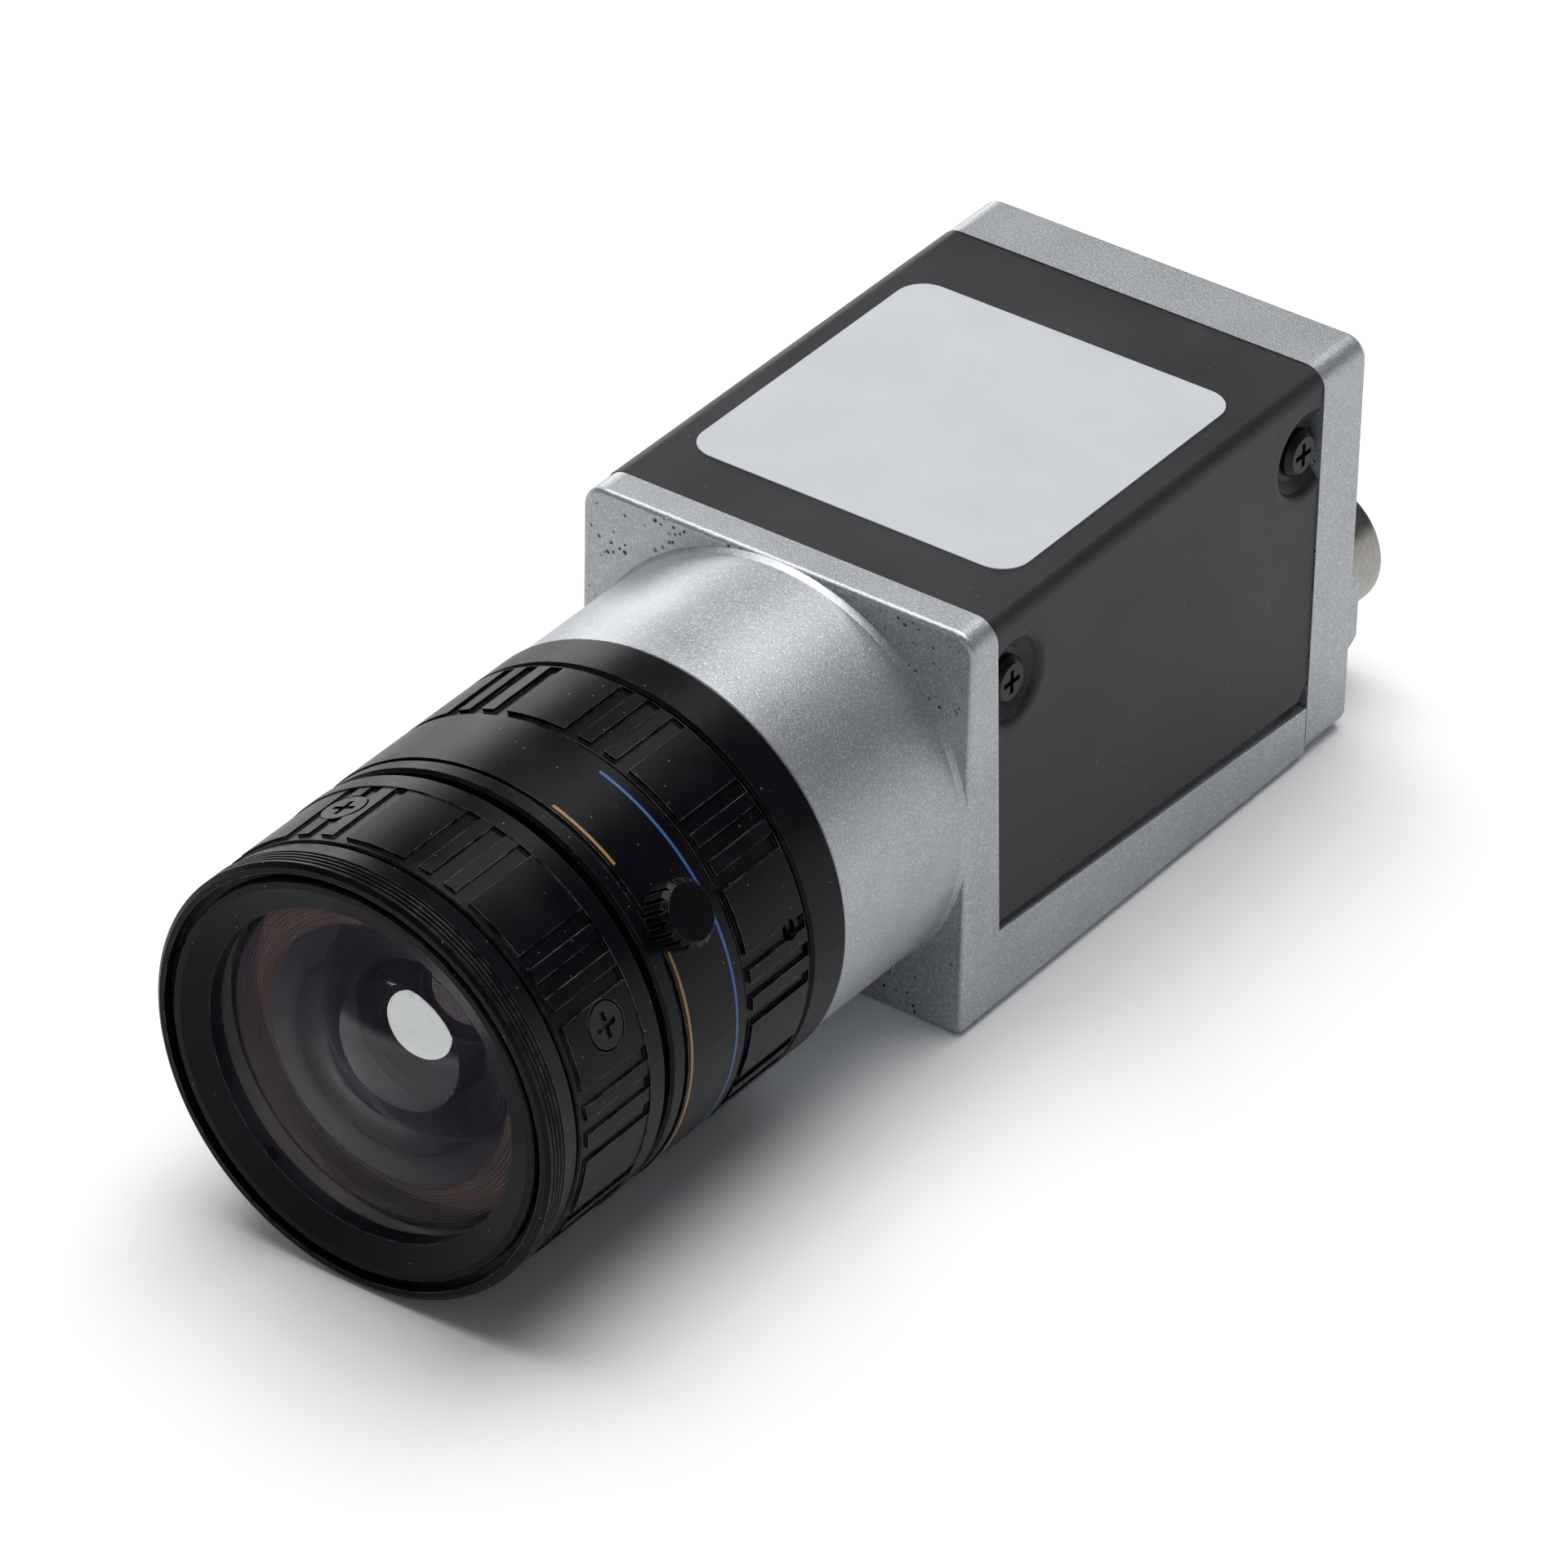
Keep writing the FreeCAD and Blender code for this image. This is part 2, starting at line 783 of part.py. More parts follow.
def rear_plate():
    body = new_body("rear_plate")
    half = "body_width/2"
    face = new_sketch(body, "XZ_Plane", "outline", ("0", "0", "- plate_rear"))
    draw(face, [
        (half + " - plate_round", "0", "plate_round", "left"),
        (half, "plate_round"),
        (half, "body_height - plate_round", "plate_round", "left"),
        (half + " - plate_round", "body_height"),
        ("plate_round - " + half, "body_height", "plate_round", "left"),
        ("- " + half, "body_height - plate_round"),
        ("- " + half, "plate_round", "plate_round", "left"),
        ("plate_round - " + half, "0"),
    ])
    pad(face, "plate_rear - plate_front", "plate")
    rear = SIZES["plate_rear"]

    def rear_rim(edge):
        return edge.BoundBox.YMin > rear - NEAR

    round_edges(body, "plate_edge_round", "rear_rim", rear_rim)

    boss = new_sketch(body, "XZ_Plane", "boss", ("0", "0", "- plate_rear - boss_height"))
    draw_circle(boss, "power_side", "power_height", "boss_radius")
    pad(boss, "boss_height + plate_edge_round", "boss_pad")
    side = new_sketch(body, "XZ_Plane", "boss_side", ("0", "0", "- plate_rear - 2"))
    draw_box(side, "boss_side", "0 - 1", "boss_side + boss_trim", "body_height")
    pocket(side, "boss_trim", "boss_flat", reverse=True)

    ear = new_sketch(body, "YZ_Plane", "ear", ("0", "0", "ear_inner"))
    draw_box(ear, "rear_ear_start", "ear_bottom", "plate_front + 1", "ear_top")
    ear_pad = pad(ear, "ear_outer - ear_inner", "ear_pad")
    mirror(body, [ear_pad])
    tongue = new_sketch(body, "XY_Plane", "tongue", ("0", "0", "tongue_bottom"))
    draw_box(tongue, "- tongue_side", "tongue_start", "tongue_edge", "plate_front + 1")
    pad(tongue, "tongue_top - tongue_bottom", "tongue_pad")

    screw = new_sketch(body, "YZ_Plane", "ear_holes")
    draw_circle(screw, "rear_screw_back", "side_screw_height", "side_tap_radius")
    pocket(screw, "body_width", "ear_tapping", symmetric=True)

    jack = new_sketch(body, "XZ_Plane", "jack_opening", ("0", "0", "- plate_rear - 1"))
    draw_box(jack, "- jack_width/2 - jack_clearance", "jack_middle - jack_height/2 - jack_clearance",
             "jack_width/2 + jack_clearance", "jack_middle + jack_height/2 + jack_clearance")
    draw_circle(jack, "power_side", "power_height", "power_hole")
    draw_circle(jack, "light_side", "power_height", "light_hole")
    pocket(jack, "plate_rear - plate_front + 2", "openings", reverse=True)

    locks = new_sketch(body, "XZ_Plane", "lock_holes", ("0", "0", "- plate_rear"))
    draw_circle(locks, "lock_spacing/2", "jack_middle", "lock_hole_radius")
    draw_circle(locks, "- lock_spacing/2", "jack_middle", "lock_hole_radius")
    pocket(locks, "lock_hole_depth", "lock_tapping", reverse=True)
    return node(body)


# ---------------------------------------------------------------- cover

def dish_profile():
    """Half section of the pressed dish: a rounded rim, a cone and a flat floor."""
    outer = "cover_half_width"
    return [
        (outer + " + 0.3", "0"),
        (outer + " + 0.3", "dimple_rim"),
        (outer, "dimple_rim", "dimple_curve", "right"),
        (outer + " - dimple_depth/2", "dimple_rim/2 + dimple_floor/2"),
        (outer + " - dimple_depth", "dimple_floor"),
        (outer + " - dimple_depth", "0"),
    ]


def bulge_profile():
    """Half section of the cone that the same press pushes up inside the cover."""
    inner = "cover_half_width - cover_sheet"
    return [
        (inner + " + 0.3", "0"),
        (inner + " + 0.3", "dimple_rim"),
        (inner, "dimple_rim"),
        (inner + " - dimple_depth", "dimple_floor"),
        (inner + " - dimple_depth", "0"),
    ]


def cover():
    body = new_body("cover")
    half, top, sheet_metal, bend = "cover_half_width", "cover_top", "cover_sheet", "cover_bend"
    fold = new_sketch(body, "XZ_Plane", "fold", ("0", "0", "- cover_rear"))
    draw(fold, [
        ("- " + half, "tray_floor"),
        ("- " + half, f"{top} - {bend}", bend, "right"),
        (f"{bend} - {half}", top),
        (f"{half} - {bend}", top, bend, "right"),
        (half, f"{top} - {bend}"),
        (half, "tray_floor"),
        (f"{half} - {sheet_metal}", "tray_floor"),
        (f"{half} - {sheet_metal}", f"{top} - {bend}", f"{bend} - {sheet_metal}", "left"),
        (f"{half} - {bend}", f"{top} - {sheet_metal}"),
        (f"{bend} - {half}", f"{top} - {sheet_metal}", f"{bend} - {sheet_metal}", "left"),
        (f"{sheet_metal} - {half}", f"{top} - {bend}"),
        (f"{sheet_metal} - {half}", "tray_floor"),
    ])
    pad(fold, "cover_rear", "folded_sheet")

    pressed = []
    for name, back in (("front", "front_screw_back"), ("rear", "rear_screw_back")):
        spot = ("0", back, "side_screw_height")
        inside = new_sketch(body, "XY_Plane", name + "_bulge", spot)
        draw(inside, bulge_profile())
        pressed.append(spin("Revolution", inside, "H_Axis", name + "_bulging"))
    mirror(body, pressed)
    dished = []
    for name, back in (("front", "front_screw_back"), ("rear", "rear_screw_back")):
        spot = ("0", back, "side_screw_height")
        outside = new_sketch(body, "XY_Plane", name + "_dish", spot)
        draw(outside, dish_profile())
        dished.append(spin("Groove", outside, "H_Axis", name + "_dishing"))
    mirror(body, dished)

    holes = new_sketch(body, "YZ_Plane", "screw_holes")
    for back in ("front_screw_back", "rear_screw_back"):
        draw_circle(holes, back, "side_screw_height", "side_hole_radius")
    pocket(holes, "body_width", "piercing", symmetric=True)

    front = new_sketch(body, "YZ_Plane", "front_trim")
    draw(front, [
        ("0 - 2", "body_height + 2"),
        ("0 - 2", "0"),
        ("flange_foot + cover_gap", "0"),
        ("flange_foot + cover_gap", "strip_front_height"),
        ("flange_top + cover_gap", "body_height"),
        ("flange_top + cover_gap", "body_height + 2"),
    ])
    pocket(front, "body_width + 2", "front_shear", symmetric=True)
    lower = new_sketch(body, "YZ_Plane", "lower_trim")
    draw(lower, [
        ("flange_top", "0"),
        ("cover_rear + 1", "0"),
        ("cover_rear + 1", "cover_rear_bottom + 2*cover_clip_rise"),
        ("cover_clip_start", "cover_rear_bottom"),
        ("flange_top", "cover_front_bottom"),
    ])
    pocket(lower, "body_width + 2", "lower_shear", symmetric=True)
    rear = new_sketch(body, "YZ_Plane", "rear_trim")
    draw_box(rear, "cover_rear", "0", "cover_rear + 5", "body_height + 2")
    pocket(rear, "body_width + 2", "rear_shear", symmetric=True)
    return node(body)


def label_plate():
    body = new_body("label_plate")
    half = "label_width/2"
    low = "label_middle - label_length/2"
    high = "label_middle + label_length/2"
    curve = "label_round"
    sketch = new_sketch(body, "XY_Plane", "outline", ("0", "0", "cover_top"))
    draw(sketch, [
        (f"{half} - {curve}", low, curve, "left"),
        (half, f"{low} + {curve}"),
        (half, f"{high} - {curve}", curve, "left"),
        (f"{half} - {curve}", high),
        (f"{curve} - {half}", high, curve, "left"),
        ("- " + half, f"{high} - {curve}"),
        ("- " + half, f"{low} + {curve}", curve, "left"),
        (f"{curve} - {half}", low),
    ])
    pad(sketch, "label_thickness", "foil")
    return node(body)


# ---------------------------------------------------------------- screws

def screw_body(body, seat, head_radius, head_height, shank_radius, tip):
    """Pan head screw along the body's Z, head seated at one height, tip at another."""
    sketch = new_sketch(body, "XZ_Plane", "screw_profile")
    draw(sketch, [
        ("0", tip),
        (shank_radius, tip),
        (shank_radius, seat),
        (head_radius, seat),
        (head_radius, f"{seat} + {head_height}/2"),
        (f"{head_radius} - {head_height}/2", f"{seat} + {head_height}"),
        ("0", f"{seat} + {head_height}"),
    ])
    spin("Revolution", sketch, "V_Axis", "turning")
    for name, wide, long in (("slot_x", "recess_length", "recess_width"),
                             ("slot_y", "recess_width", "recess_length")):
        slot = new_sketch(body, "XY_Plane", name, ("0", "0", f"{seat} + {head_height}"))
        draw_box(slot, f"- {wide}/2", f"- {long}/2", f"{wide}/2", f"{long}/2")
        pocket(slot, "recess_depth", name + "_cut")
    return body


def cover_screws():
    """Four black cross-head screws that hold the cover to both castings."""
    members = []
    for side, turn in (("right", 90), ("left", -90)):
        for name, back in (("front", "front_screw_back"), ("rear", "rear_screw_back")):
            body = doc.addObject("PartDesign::Body", f"cover_screw_{side}_{name}")
            place(body, "0", "front_face + " + back, "side_screw_height",
                  Rotation(Y_AXIS, turn))
            seat = "cover_half_width - dimple_depth"
            screw_body(body, seat, "side_head_radius", "side_head_height",
                       "side_shank_radius", seat + " - side_shank_length")
            members.append(body)
    return node(group("cover_screws", members))


# ---------------------------------------------------------------- filter and sensor

def sensor_parts():
    front = "front_face + "
    half = "package_size/2"
    cavity = "cavity_size/2"
    window = "window_size/2"
    filter_front = "filter_seat + filter_thickness"
    node(disc("infrared_filter", "filter_radius", "filter_seat", filter_front))
    node(turned("filter_ring", [
        ("filter_ring_inner", filter_front),
        ("filter_ring_outer", filter_front),
        ("filter_ring_outer", filter_front + " + filter_ring_width"),
        ("filter_ring_inner + 0.4", filter_front + " + filter_ring_width"),
        ("filter_ring_inner", filter_front + " + 0.4"),
    ]))
    shell = block("sensor_package_block",
                  ("- " + half, front + "package_front", "axis_height - " + half),
                  (half, front + "sensor_board_back", "axis_height + " + half))
    floor = "sensor_plane + die_thickness"
    hollow = block("sensor_package_cavity",
                   ("- " + cavity, front + "package_front - 1", "axis_height - " + cavity),
                   (cavity, front + floor, "axis_height + " + cavity))
    node(cut("sensor_package", shell, hollow))
    node(block("sensor_die",
               ("- die_width/2", front + "sensor_plane", "axis_height - die_height/2"),
               ("die_width/2", front + floor, "axis_height + die_height/2")))
    node(block("sensor_window",
               ("- " + window, front + "package_front - window_thickness",
                "axis_height - " + window),
               (window, front + "package_front", "axis_height + " + window)))


# ---------------------------------------------------------------- boards

SPACER_SPOTS = [(side, height) for side in ("spacer_side", "- spacer_side")
                for height in ("spacer_low", "spacer_high")]


def board(label, back):
    """Plain circuit board across the housing."""
    front = "front_face + " + back
    return block(label,
                 ("- board_half_width", front, "board_bottom"),
                 ("board_half_width", front + " + board_thickness", "board_top"))


def hex_standoff(label, ahead, rear, side, height):
    """Hexagonal spacer between two boards, threaded at both ends."""
    prism = doc.addObject("Part::Prism", label)
    prism.Polygon = 6
    bind(prism, "Circumradius", "spacer_radius")
    bind(prism, "Height", f"{rear} - {ahead} - board_thickness")
    base = (side, f"front_face + {ahead} + board_thickness", height)
    return place(prism, *base, ALONG["y"])


def board_stack():
    boards = ("sensor_board_back", "processor_board_back", "interface_board_back")
    drilled = board("sensor_board_blank", boards[0])
    node(board("processor_board", boards[1]))
    node(board("interface_board", boards[2]))
    holes = []
    spacers = []
    screws = []
    for index, (side, height) in enumerate(SPACER_SPOTS, start=1):
        seat = "front_face + sensor_board_back"
        holes.append(rod(f"sensor_board_hole_{index}", "spacer_hole", "board_thickness",
                         (side, seat, height), "y"))
        for step, (ahead, rear) in enumerate(zip(boards[:-1], boards[1:]), start=1):
            spacers.append(hex_standoff(f"spacer_{index}_{step}", ahead, rear, side, height))
        head = rod(f"board_screw_{index}_head", "board_screw_head",
                   "board_screw_head_height",
                   (side, seat + " - board_screw_head_height", height), "y")
        shank = rod(f"board_screw_{index}_shank", "board_screw_radius", "board_thickness",
                    (side, seat, height), "y")
        screws.append(fused(f"board_screw_{index}", [head, shank]))
    node(cut("sensor_board", drilled, holes))
    node(group("board_spacers", spacers))
    node(group("board_screws", screws))

    def chip(label, back, size, side, height, behind):
        start = f"{back} + board_thickness" if behind else f"{back} - chip_height"
        return block(label,
                     (f"{side} - {size}/2", "front_face + " + start, f"{height} - {size}/2"),
                     (f"{side} + {size}/2", f"front_face + {start} + chip_height",
                      f"{height} + {size}/2"))

    node(group("board_chips", [
        chip("processor_chip", "processor_board_back", "large_chip", "0", "15", False),
        chip("memory_chip", "processor_board_back", "small_chip", "0 - 3", "16", True),
        chip("network_chip", "interface_board_back", "small_chip", "4", "18", False),
        chip("power_chip", "interface_board_back", "small_chip", "0 - 5", "18", False),
    ]))

    def mezzanine(label, ahead, rear):
        return block(label,
                     ("- mezzanine_width/2", f"front_face + {ahead} + board_thickness", "6"),
                     ("mezzanine_width/2", "front_face + " + rear, "6 + mezzanine_height"))

    node(group("board_connectors", [
        mezzanine("front_mezzanine", "sensor_board_back", "processor_board_back"),
        mezzanine("rear_mezzanine", "processor_board_back", "interface_board_back"),
    ]))


# ---------------------------------------------------------------- Ethernet socket

def ethernet_socket():
    front = "front_face + jack_front"
    rear = "front_face + plate_rear"
    half = "jack_width/2"
    low = "jack_middle - jack_height/2"
    high = "jack_middle + jack_height/2"
    skin = "jack_sheet"
    outer = block("jack_outer", ("- " + half, front, low), (half, rear, high))
    inner = block("jack_inner",
                  (f"{skin} - {half}", f"{front} + {skin}", f"{low} + {skin}"),
                  (f"{half} - {skin}", rear + " + 1", f"{high} - {skin}"))
    node(cut("ethernet_shell", outer, inner))

    body = block("jack_core",
                 (f"{skin} - {half}", f"{front} + {skin}", f"{low} + {skin}"),
                 (f"{half} - {skin}", rear + " - 0.1", f"{high} - {skin}"))
    floor = rear + " - socket_depth"
    bottom = "socket_middle - socket_height/2"
    mouth = block("socket_mouth", ("- socket_width/2", floor, bottom),
                  ("socket_width/2", rear + " + 1", "socket_middle + socket_height/2"))
    wide = block("latch_wide", ("- latch_width/2", floor, bottom + " - latch_drop"),
                 ("latch_width/2", rear + " + 1", "socket_middle"))
    deep = block("latch_deep_slot", ("- latch_narrow/2", floor, bottom + " - latch_deep"),
                 ("latch_narrow/2", rear + " + 1", "socket_middle"))
    node(cut("ethernet_insert", body, fused("socket_hollow", [mouth, wide, deep])))

    contacts = []
    middle = (SIZES["contact_count"] - 1) / 2
    for index in range(SIZES["contact_count"]):
        wire = doc.addObject("Part::Box", f"ethernet_contact_{index + 1}")
        bind(wire, "Length", "contact_thickness")
        bind(wire, "Width", "contact_length")
        bind(wire, "Height", "contact_thickness")
        place(wire, f"{index - middle}*contact_pitch - contact_thickness/2",
              floor + " + contact_thickness/4",
              "socket_middle + socket_height/2 - contact_thickness - contact_drop",
              Rotation(X_AXIS, SIZES["contact_tilt"]))
        contacts.append(wire)
    return node(group("ethernet_contacts", contacts))


# ---------------------------------------------------------------- power socket and light

def power_socket():
    centre = ("power_side", "power_height")
    rear = "front_face + power_rear"

    def power_rod(label, radius, start, finish):
        base = (centre[0], "front_face + " + start, centre[1])
        return rod(label, radius, f"{finish} - {start}", base, "y")

    nose = power_rod("power_nose", "power_radius", "power_flange_front", "power_rear")
    flange = power_rod("power_flange", "power_flange_radius", "power_flange_front",
                       "plate_front")
    mouth = power_rod("power_mouth_hollow", "power_mouth", "power_floor", "power_rear")
    throat = power_rod("power_throat", "power_mouth - power_seat_step", "power_flange_front",
                       "power_floor")
    slots = []
    for index in range(SIZES["power_slot_count"]):
        slot = doc.addObject("Part::Box", f"power_slot_{index + 1}")
        bind(slot, "Length", "power_radius")
        bind(slot, "Width", "power_slot_length")
        bind(slot, "Height", "power_slot_width")
        angle = 360 / SIZES["power_slot_count"] * index + SIZES["power_slot_angle"]
        shift = Rotation(Y_AXIS, angle).multVec(Vector(SIZES["power_slot_inner"], 0, -SIZES["power_slot_width"] / 2))
        slot.Placement = Placement(
            Vector(SIZES["power_side"] + shift.x,
                   SIZES["front_face"] + SIZES["power_slot_start"],
                   SIZES["power_height"] + shift.z),
            Rotation(Y_AXIS, angle))
        slots.append(slot)
    shell = fused("power_shell_blank", [nose, flange])
    node(cut("power_shell", shell, [mouth, throat] + slots))

    disc_blank = power_rod("power_insulator_blank", "power_mouth - power_seat_step - power_seat_gap",
                           "power_flange_front", "power_floor")
    pins = []
    drilled = []
    for index in range(SIZES["power_pin_count"]):
        turn = 360 / SIZES["power_pin_count"]
        across, rise = polar("power_pin_circle", turn * (index + 0.5))
        base = ("power_side + " + across, "front_face + power_board_back",
                "power_height + " + rise)
        pins.append(rod(f"power_pin_{index + 1}", "power_pin_radius",
                        "power_pin_end - power_board_back", base, "y"))
        drilled.append(rod(f"power_pin_hole_{index + 1}", "power_pin_radius",
                           "power_pin_end - power_board_back", base, "y"))
    node(cut("power_insulator", disc_blank, drilled))
    node(group("power_pins", pins))

    half = "power_board_size/2"
    node(block("power_board",
               (f"power_side - {half}", "front_face + power_board_back - board_thickness",
                f"power_height - {half} + power_board_trim"),
               (f"power_side + {half} - power_board_trim", "front_face + power_board_back",
                f"power_height + {half}")))
    side = "power_header_size/2"
    node(block("power_header",
               (f"power_side - {side}",
                "front_face + interface_board_back + board_thickness",
                "power_height - power_header_height/2"),
               (f"power_side + {side}",
                "front_face + power_board_back - board_thickness",
                "power_height + power_header_height/2")))
    base = ("light_side", "front_face + interface_board_back + board_thickness",
            "power_height")
    node(rod("status_light", "light_radius",
             "plate_rear + light_proud - interface_board_back - board_thickness", base, "y"))


# ---------------------------------------------------------------- fixed lens barrel

def lens_barrel():
    chamfer = "lens_chamfer"
    body = turned("lens_barrel", [
        ("nose_bore", "nose_end"),
        ("nose_radius - " + chamfer, "nose_end"),
        ("nose_radius", "nose_end + " + chamfer),
        ("nose_radius", "tube_length - 0.6"),
        ("nose_radius - 0.4", "tube_length - 0.6"),
        ("nose_radius - 0.4", "tube_length"),
        ("lens_radius - " + chamfer, "tube_length"),
        ("lens_radius", "tube_length + " + chamfer),
        ("lens_radius", "shoulder_end - " + chamfer),
        ("lens_radius - " + chamfer, "shoulder_end"),
        ("sleeve_radius", "shoulder_end"),
        ("sleeve_radius", "sleeve_end"),
        ("sleeve_bore", "sleeve_end"),
        ("sleeve_bore", "rear_cell_seat"),
        ("nose_bore", "rear_cell_seat"),
    ])
    middle = SIZES["drive_screw_angle"] + SIZES["iris_turn_range"] / 2
    slot = new_sketch(body, "XZ_Plane", "slot_section",
                      turn=Rotation(Y_AXIS, middle))
    draw_box(slot, "sleeve_bore - 0.5", "drive_screw_station - drive_slot_width/2",
             "sleeve_radius + 0.5", "drive_screw_station + drive_slot_width/2")
    spin("Groove", slot, "V_Axis", "drive_slot", "iris_turn_range + 2*drive_slot_margin")
    return node(body)


def cut_grooves(body, group_angle, start, length):
    """Three shallow grooves and two ribs between smooth pads, repeated round the ring."""
    cuts = []
    for index, step in enumerate((-1, 0, 1), start=1):
        angle = group_angle + step * SIZES["groove_side_angle"] + SIZES["groove_lean"]
        sketch = new_sketch(body, "XY_Plane", f"groove_{index}", ("0", "0", start),
                            Rotation(Z_AXIS, angle))
        draw_box(sketch, "lens_radius - groove_depth", "- groove_width/2",
                 "lens_radius + 1", "groove_width/2")
        cuts.append(pocket(sketch, length, f"groove_cut_{index}", reverse=True))
    pattern = body.newObject("PartDesign::PolarPattern", body.Label + "_ribs")
    pattern.Originals = cuts
    pattern.Axis = (origin_line(body, "Z_Axis"), [""])
    pattern.Angle = 360
    bind(pattern, "Occurrences", "groove_groups")
    body.Tip = pattern


def origin_line(body, role):
    return [item for item in body.Origin.OriginFeatures if item.Role == role][0]


def iris_ring():
    chamfer = "lens_chamfer"
    body = turned("iris_ring", [
        ("iris_ring_bore", "iris_ring_start"),
        ("lens_radius - " + chamfer, "iris_ring_start"),
        ("lens_radius", "iris_ring_start + " + chamfer),
        ("lens_radius", "iris_groove_start + iris_groove_length"),
        ("lens_radius - groove_depth", "iris_groove_start + iris_groove_length"),
        ("lens_radius - groove_depth", "iris_ring_end"),
        ("iris_ring_bore", "iris_ring_end"),
    ])
    half_pitch = 180 / SIZES["groove_groups"]
    cut_grooves(body, SIZES["iris_pad_angle"] + half_pitch, "iris_groove_start",
                "iris_groove_length")
    radial_hole(body, "drive_hole", SIZES["drive_screw_angle"], "drive_screw_station",
                "drive_hole_radius", "iris_ring_bore - 1", "3")
    return node(body)


def radial_hole(body, name, angle, station, radius, start, length):
    """Hole drilled outwards through the wall of a turned piece."""
    sketch = new_sketch(body, "YZ_Plane", name)
    turn = Rotation(Y_AXIS, angle)
    middle = turn.multVec(Vector(0, 0, number(start)))
    sketch.AttachmentOffset = Placement(middle, turn)
    draw_circle(sketch, "0", station, radius)
    return pocket(sketch, length, name + "_drilling", reverse=True)


def ring_of(body, originals, count, name):
    """Repeat features evenly round the body's Z axis."""
    pattern = body.newObject("PartDesign::PolarPattern", f"{body.Label}_{name}")
    pattern.Originals = originals
    pattern.Axis = (origin_line(body, "Z_Axis"), [""])
    pattern.Angle = 360
    bind(pattern, "Occurrences", count)
    body.Tip = pattern
    return pattern


# ---------------------------------------------------------------- iris

def radial_screw(body, tip, seat, head_radius, top, shank_radius, slot_long):
    """Small slotted screw along the body's Z, which points away from the lens axis."""
    sketch = new_sketch(body, "XZ_Plane", "screw_profile")
    draw(sketch, [
        ("0", tip),
        (shank_radius, tip),
        (shank_radius, seat),
        (head_radius, seat),
        (head_radius, top),
        ("0", top),
    ])
    spin("Revolution", sketch, "V_Axis", "turning")
    for name, wide, long in (("slot_x", slot_long, "recess_width"),
                             ("slot_y", "recess_width", slot_long)):
        slot = new_sketch(body, "XY_Plane", name, ("0", "0", top))
        draw_box(slot, f"- {wide}/2", f"- {long}/2", f"{wide}/2", f"{long}/2")
        pocket(slot, "recess_depth/2", name + "_cut")
    return body


def iris_drive_screw():
    body = new_radial_body("iris_drive_screw", "drive_screw_station",
                           SIZES["drive_screw_angle"])
    sketch = new_sketch(body, "XY_Plane", "outline", ("0", "0", "drive_screw_tip"))
    draw_circle(sketch, "0", "0", "drive_screw_radius")
    pad(sketch, "drive_screw_head - drive_screw_tip", "grub")
    slot = new_sketch(body, "XY_Plane", "slot", ("0", "0", "drive_screw_head"))
    draw_box(slot, "- drive_screw_radius - 0.1", "- recess_width/2",
             "drive_screw_radius + 0.1", "recess_width/2")
    pocket(slot, "recess_depth", "slot_cut")
    return node(body)


def cam_arc():
    """Start, finish, centre and radius of the drive pin's path in the drive ring.

    The path is taken through its first, middle and last point. The arc through them
    stays within a hundredth of a millimetre of the true path.
    """
    pivot = Vector(number("blade_pivot_radius"), 0, 0)
    start = Rotation(Z_AXIS, number("blade_cam_angle")).multVec(pivot)
    points = []
    for share in (0, 0.5, 1):
        swing = Rotation(Z_AXIS, number("blade_turn_range") * share)
        swung = pivot + swing.multVec(start - pivot)
        points.append(Rotation(Z_AXIS, -number("iris_turn_range") * share).multVec(swung))
    circle = Part.Arc(*points).toShape().Curve
    return points[0], points[2], circle.Center, circle.Radius


def iris_drive_ring():
    """Ring whose cam slots swing the blades in when the iris ring turns."""
    body = turned("iris_drive_ring", [
        ("drive_rim_inner", "drive_ring_start"),
        ("drive_ring_radius", "drive_ring_start"),
        ("drive_ring_radius", "drive_rim_end"),
        ("drive_web_bore", "drive_rim_end"),
        ("drive_web_bore", "drive_web_start"),
        ("drive_rim_inner", "drive_web_start"),
    ])
    start, finish, centre, radius = cam_arc()
    half = number("cam_slot_half_width")

    def corner(point, offset):
        spot = centre + (point - centre).normalize() * (radius + offset)
        return f"{spot.x:.4f}", f"{spot.y:.4f}"

    cap = "cam_slot_end_radius"
    slot = new_sketch(body, "XY_Plane", "cam_slot", ("0", "0", "drive_web_start - 0.5"))
    draw(slot, [
        corner(start, half) + (f"{radius:.4f} + cam_slot_half_width", "right"),
        corner(finish, half) + (cap, "right"),
        corner(finish, -half) + (f"{radius:.4f} - cam_slot_half_width", "left"),
        corner(start, -half) + (cap, "right"),
    ])
    milled = pocket(slot, "drive_rim_end - drive_web_start + 1", "cam_milling", reverse=True)
    ring_of(body, [milled], "blade_count", "cam_slots")
    radial_hole(body, "screw_hole", SIZES["drive_screw_angle"], "drive_screw_station",
                "drive_screw_radius", "drive_rim_inner - 1", "3")
    return node(body)


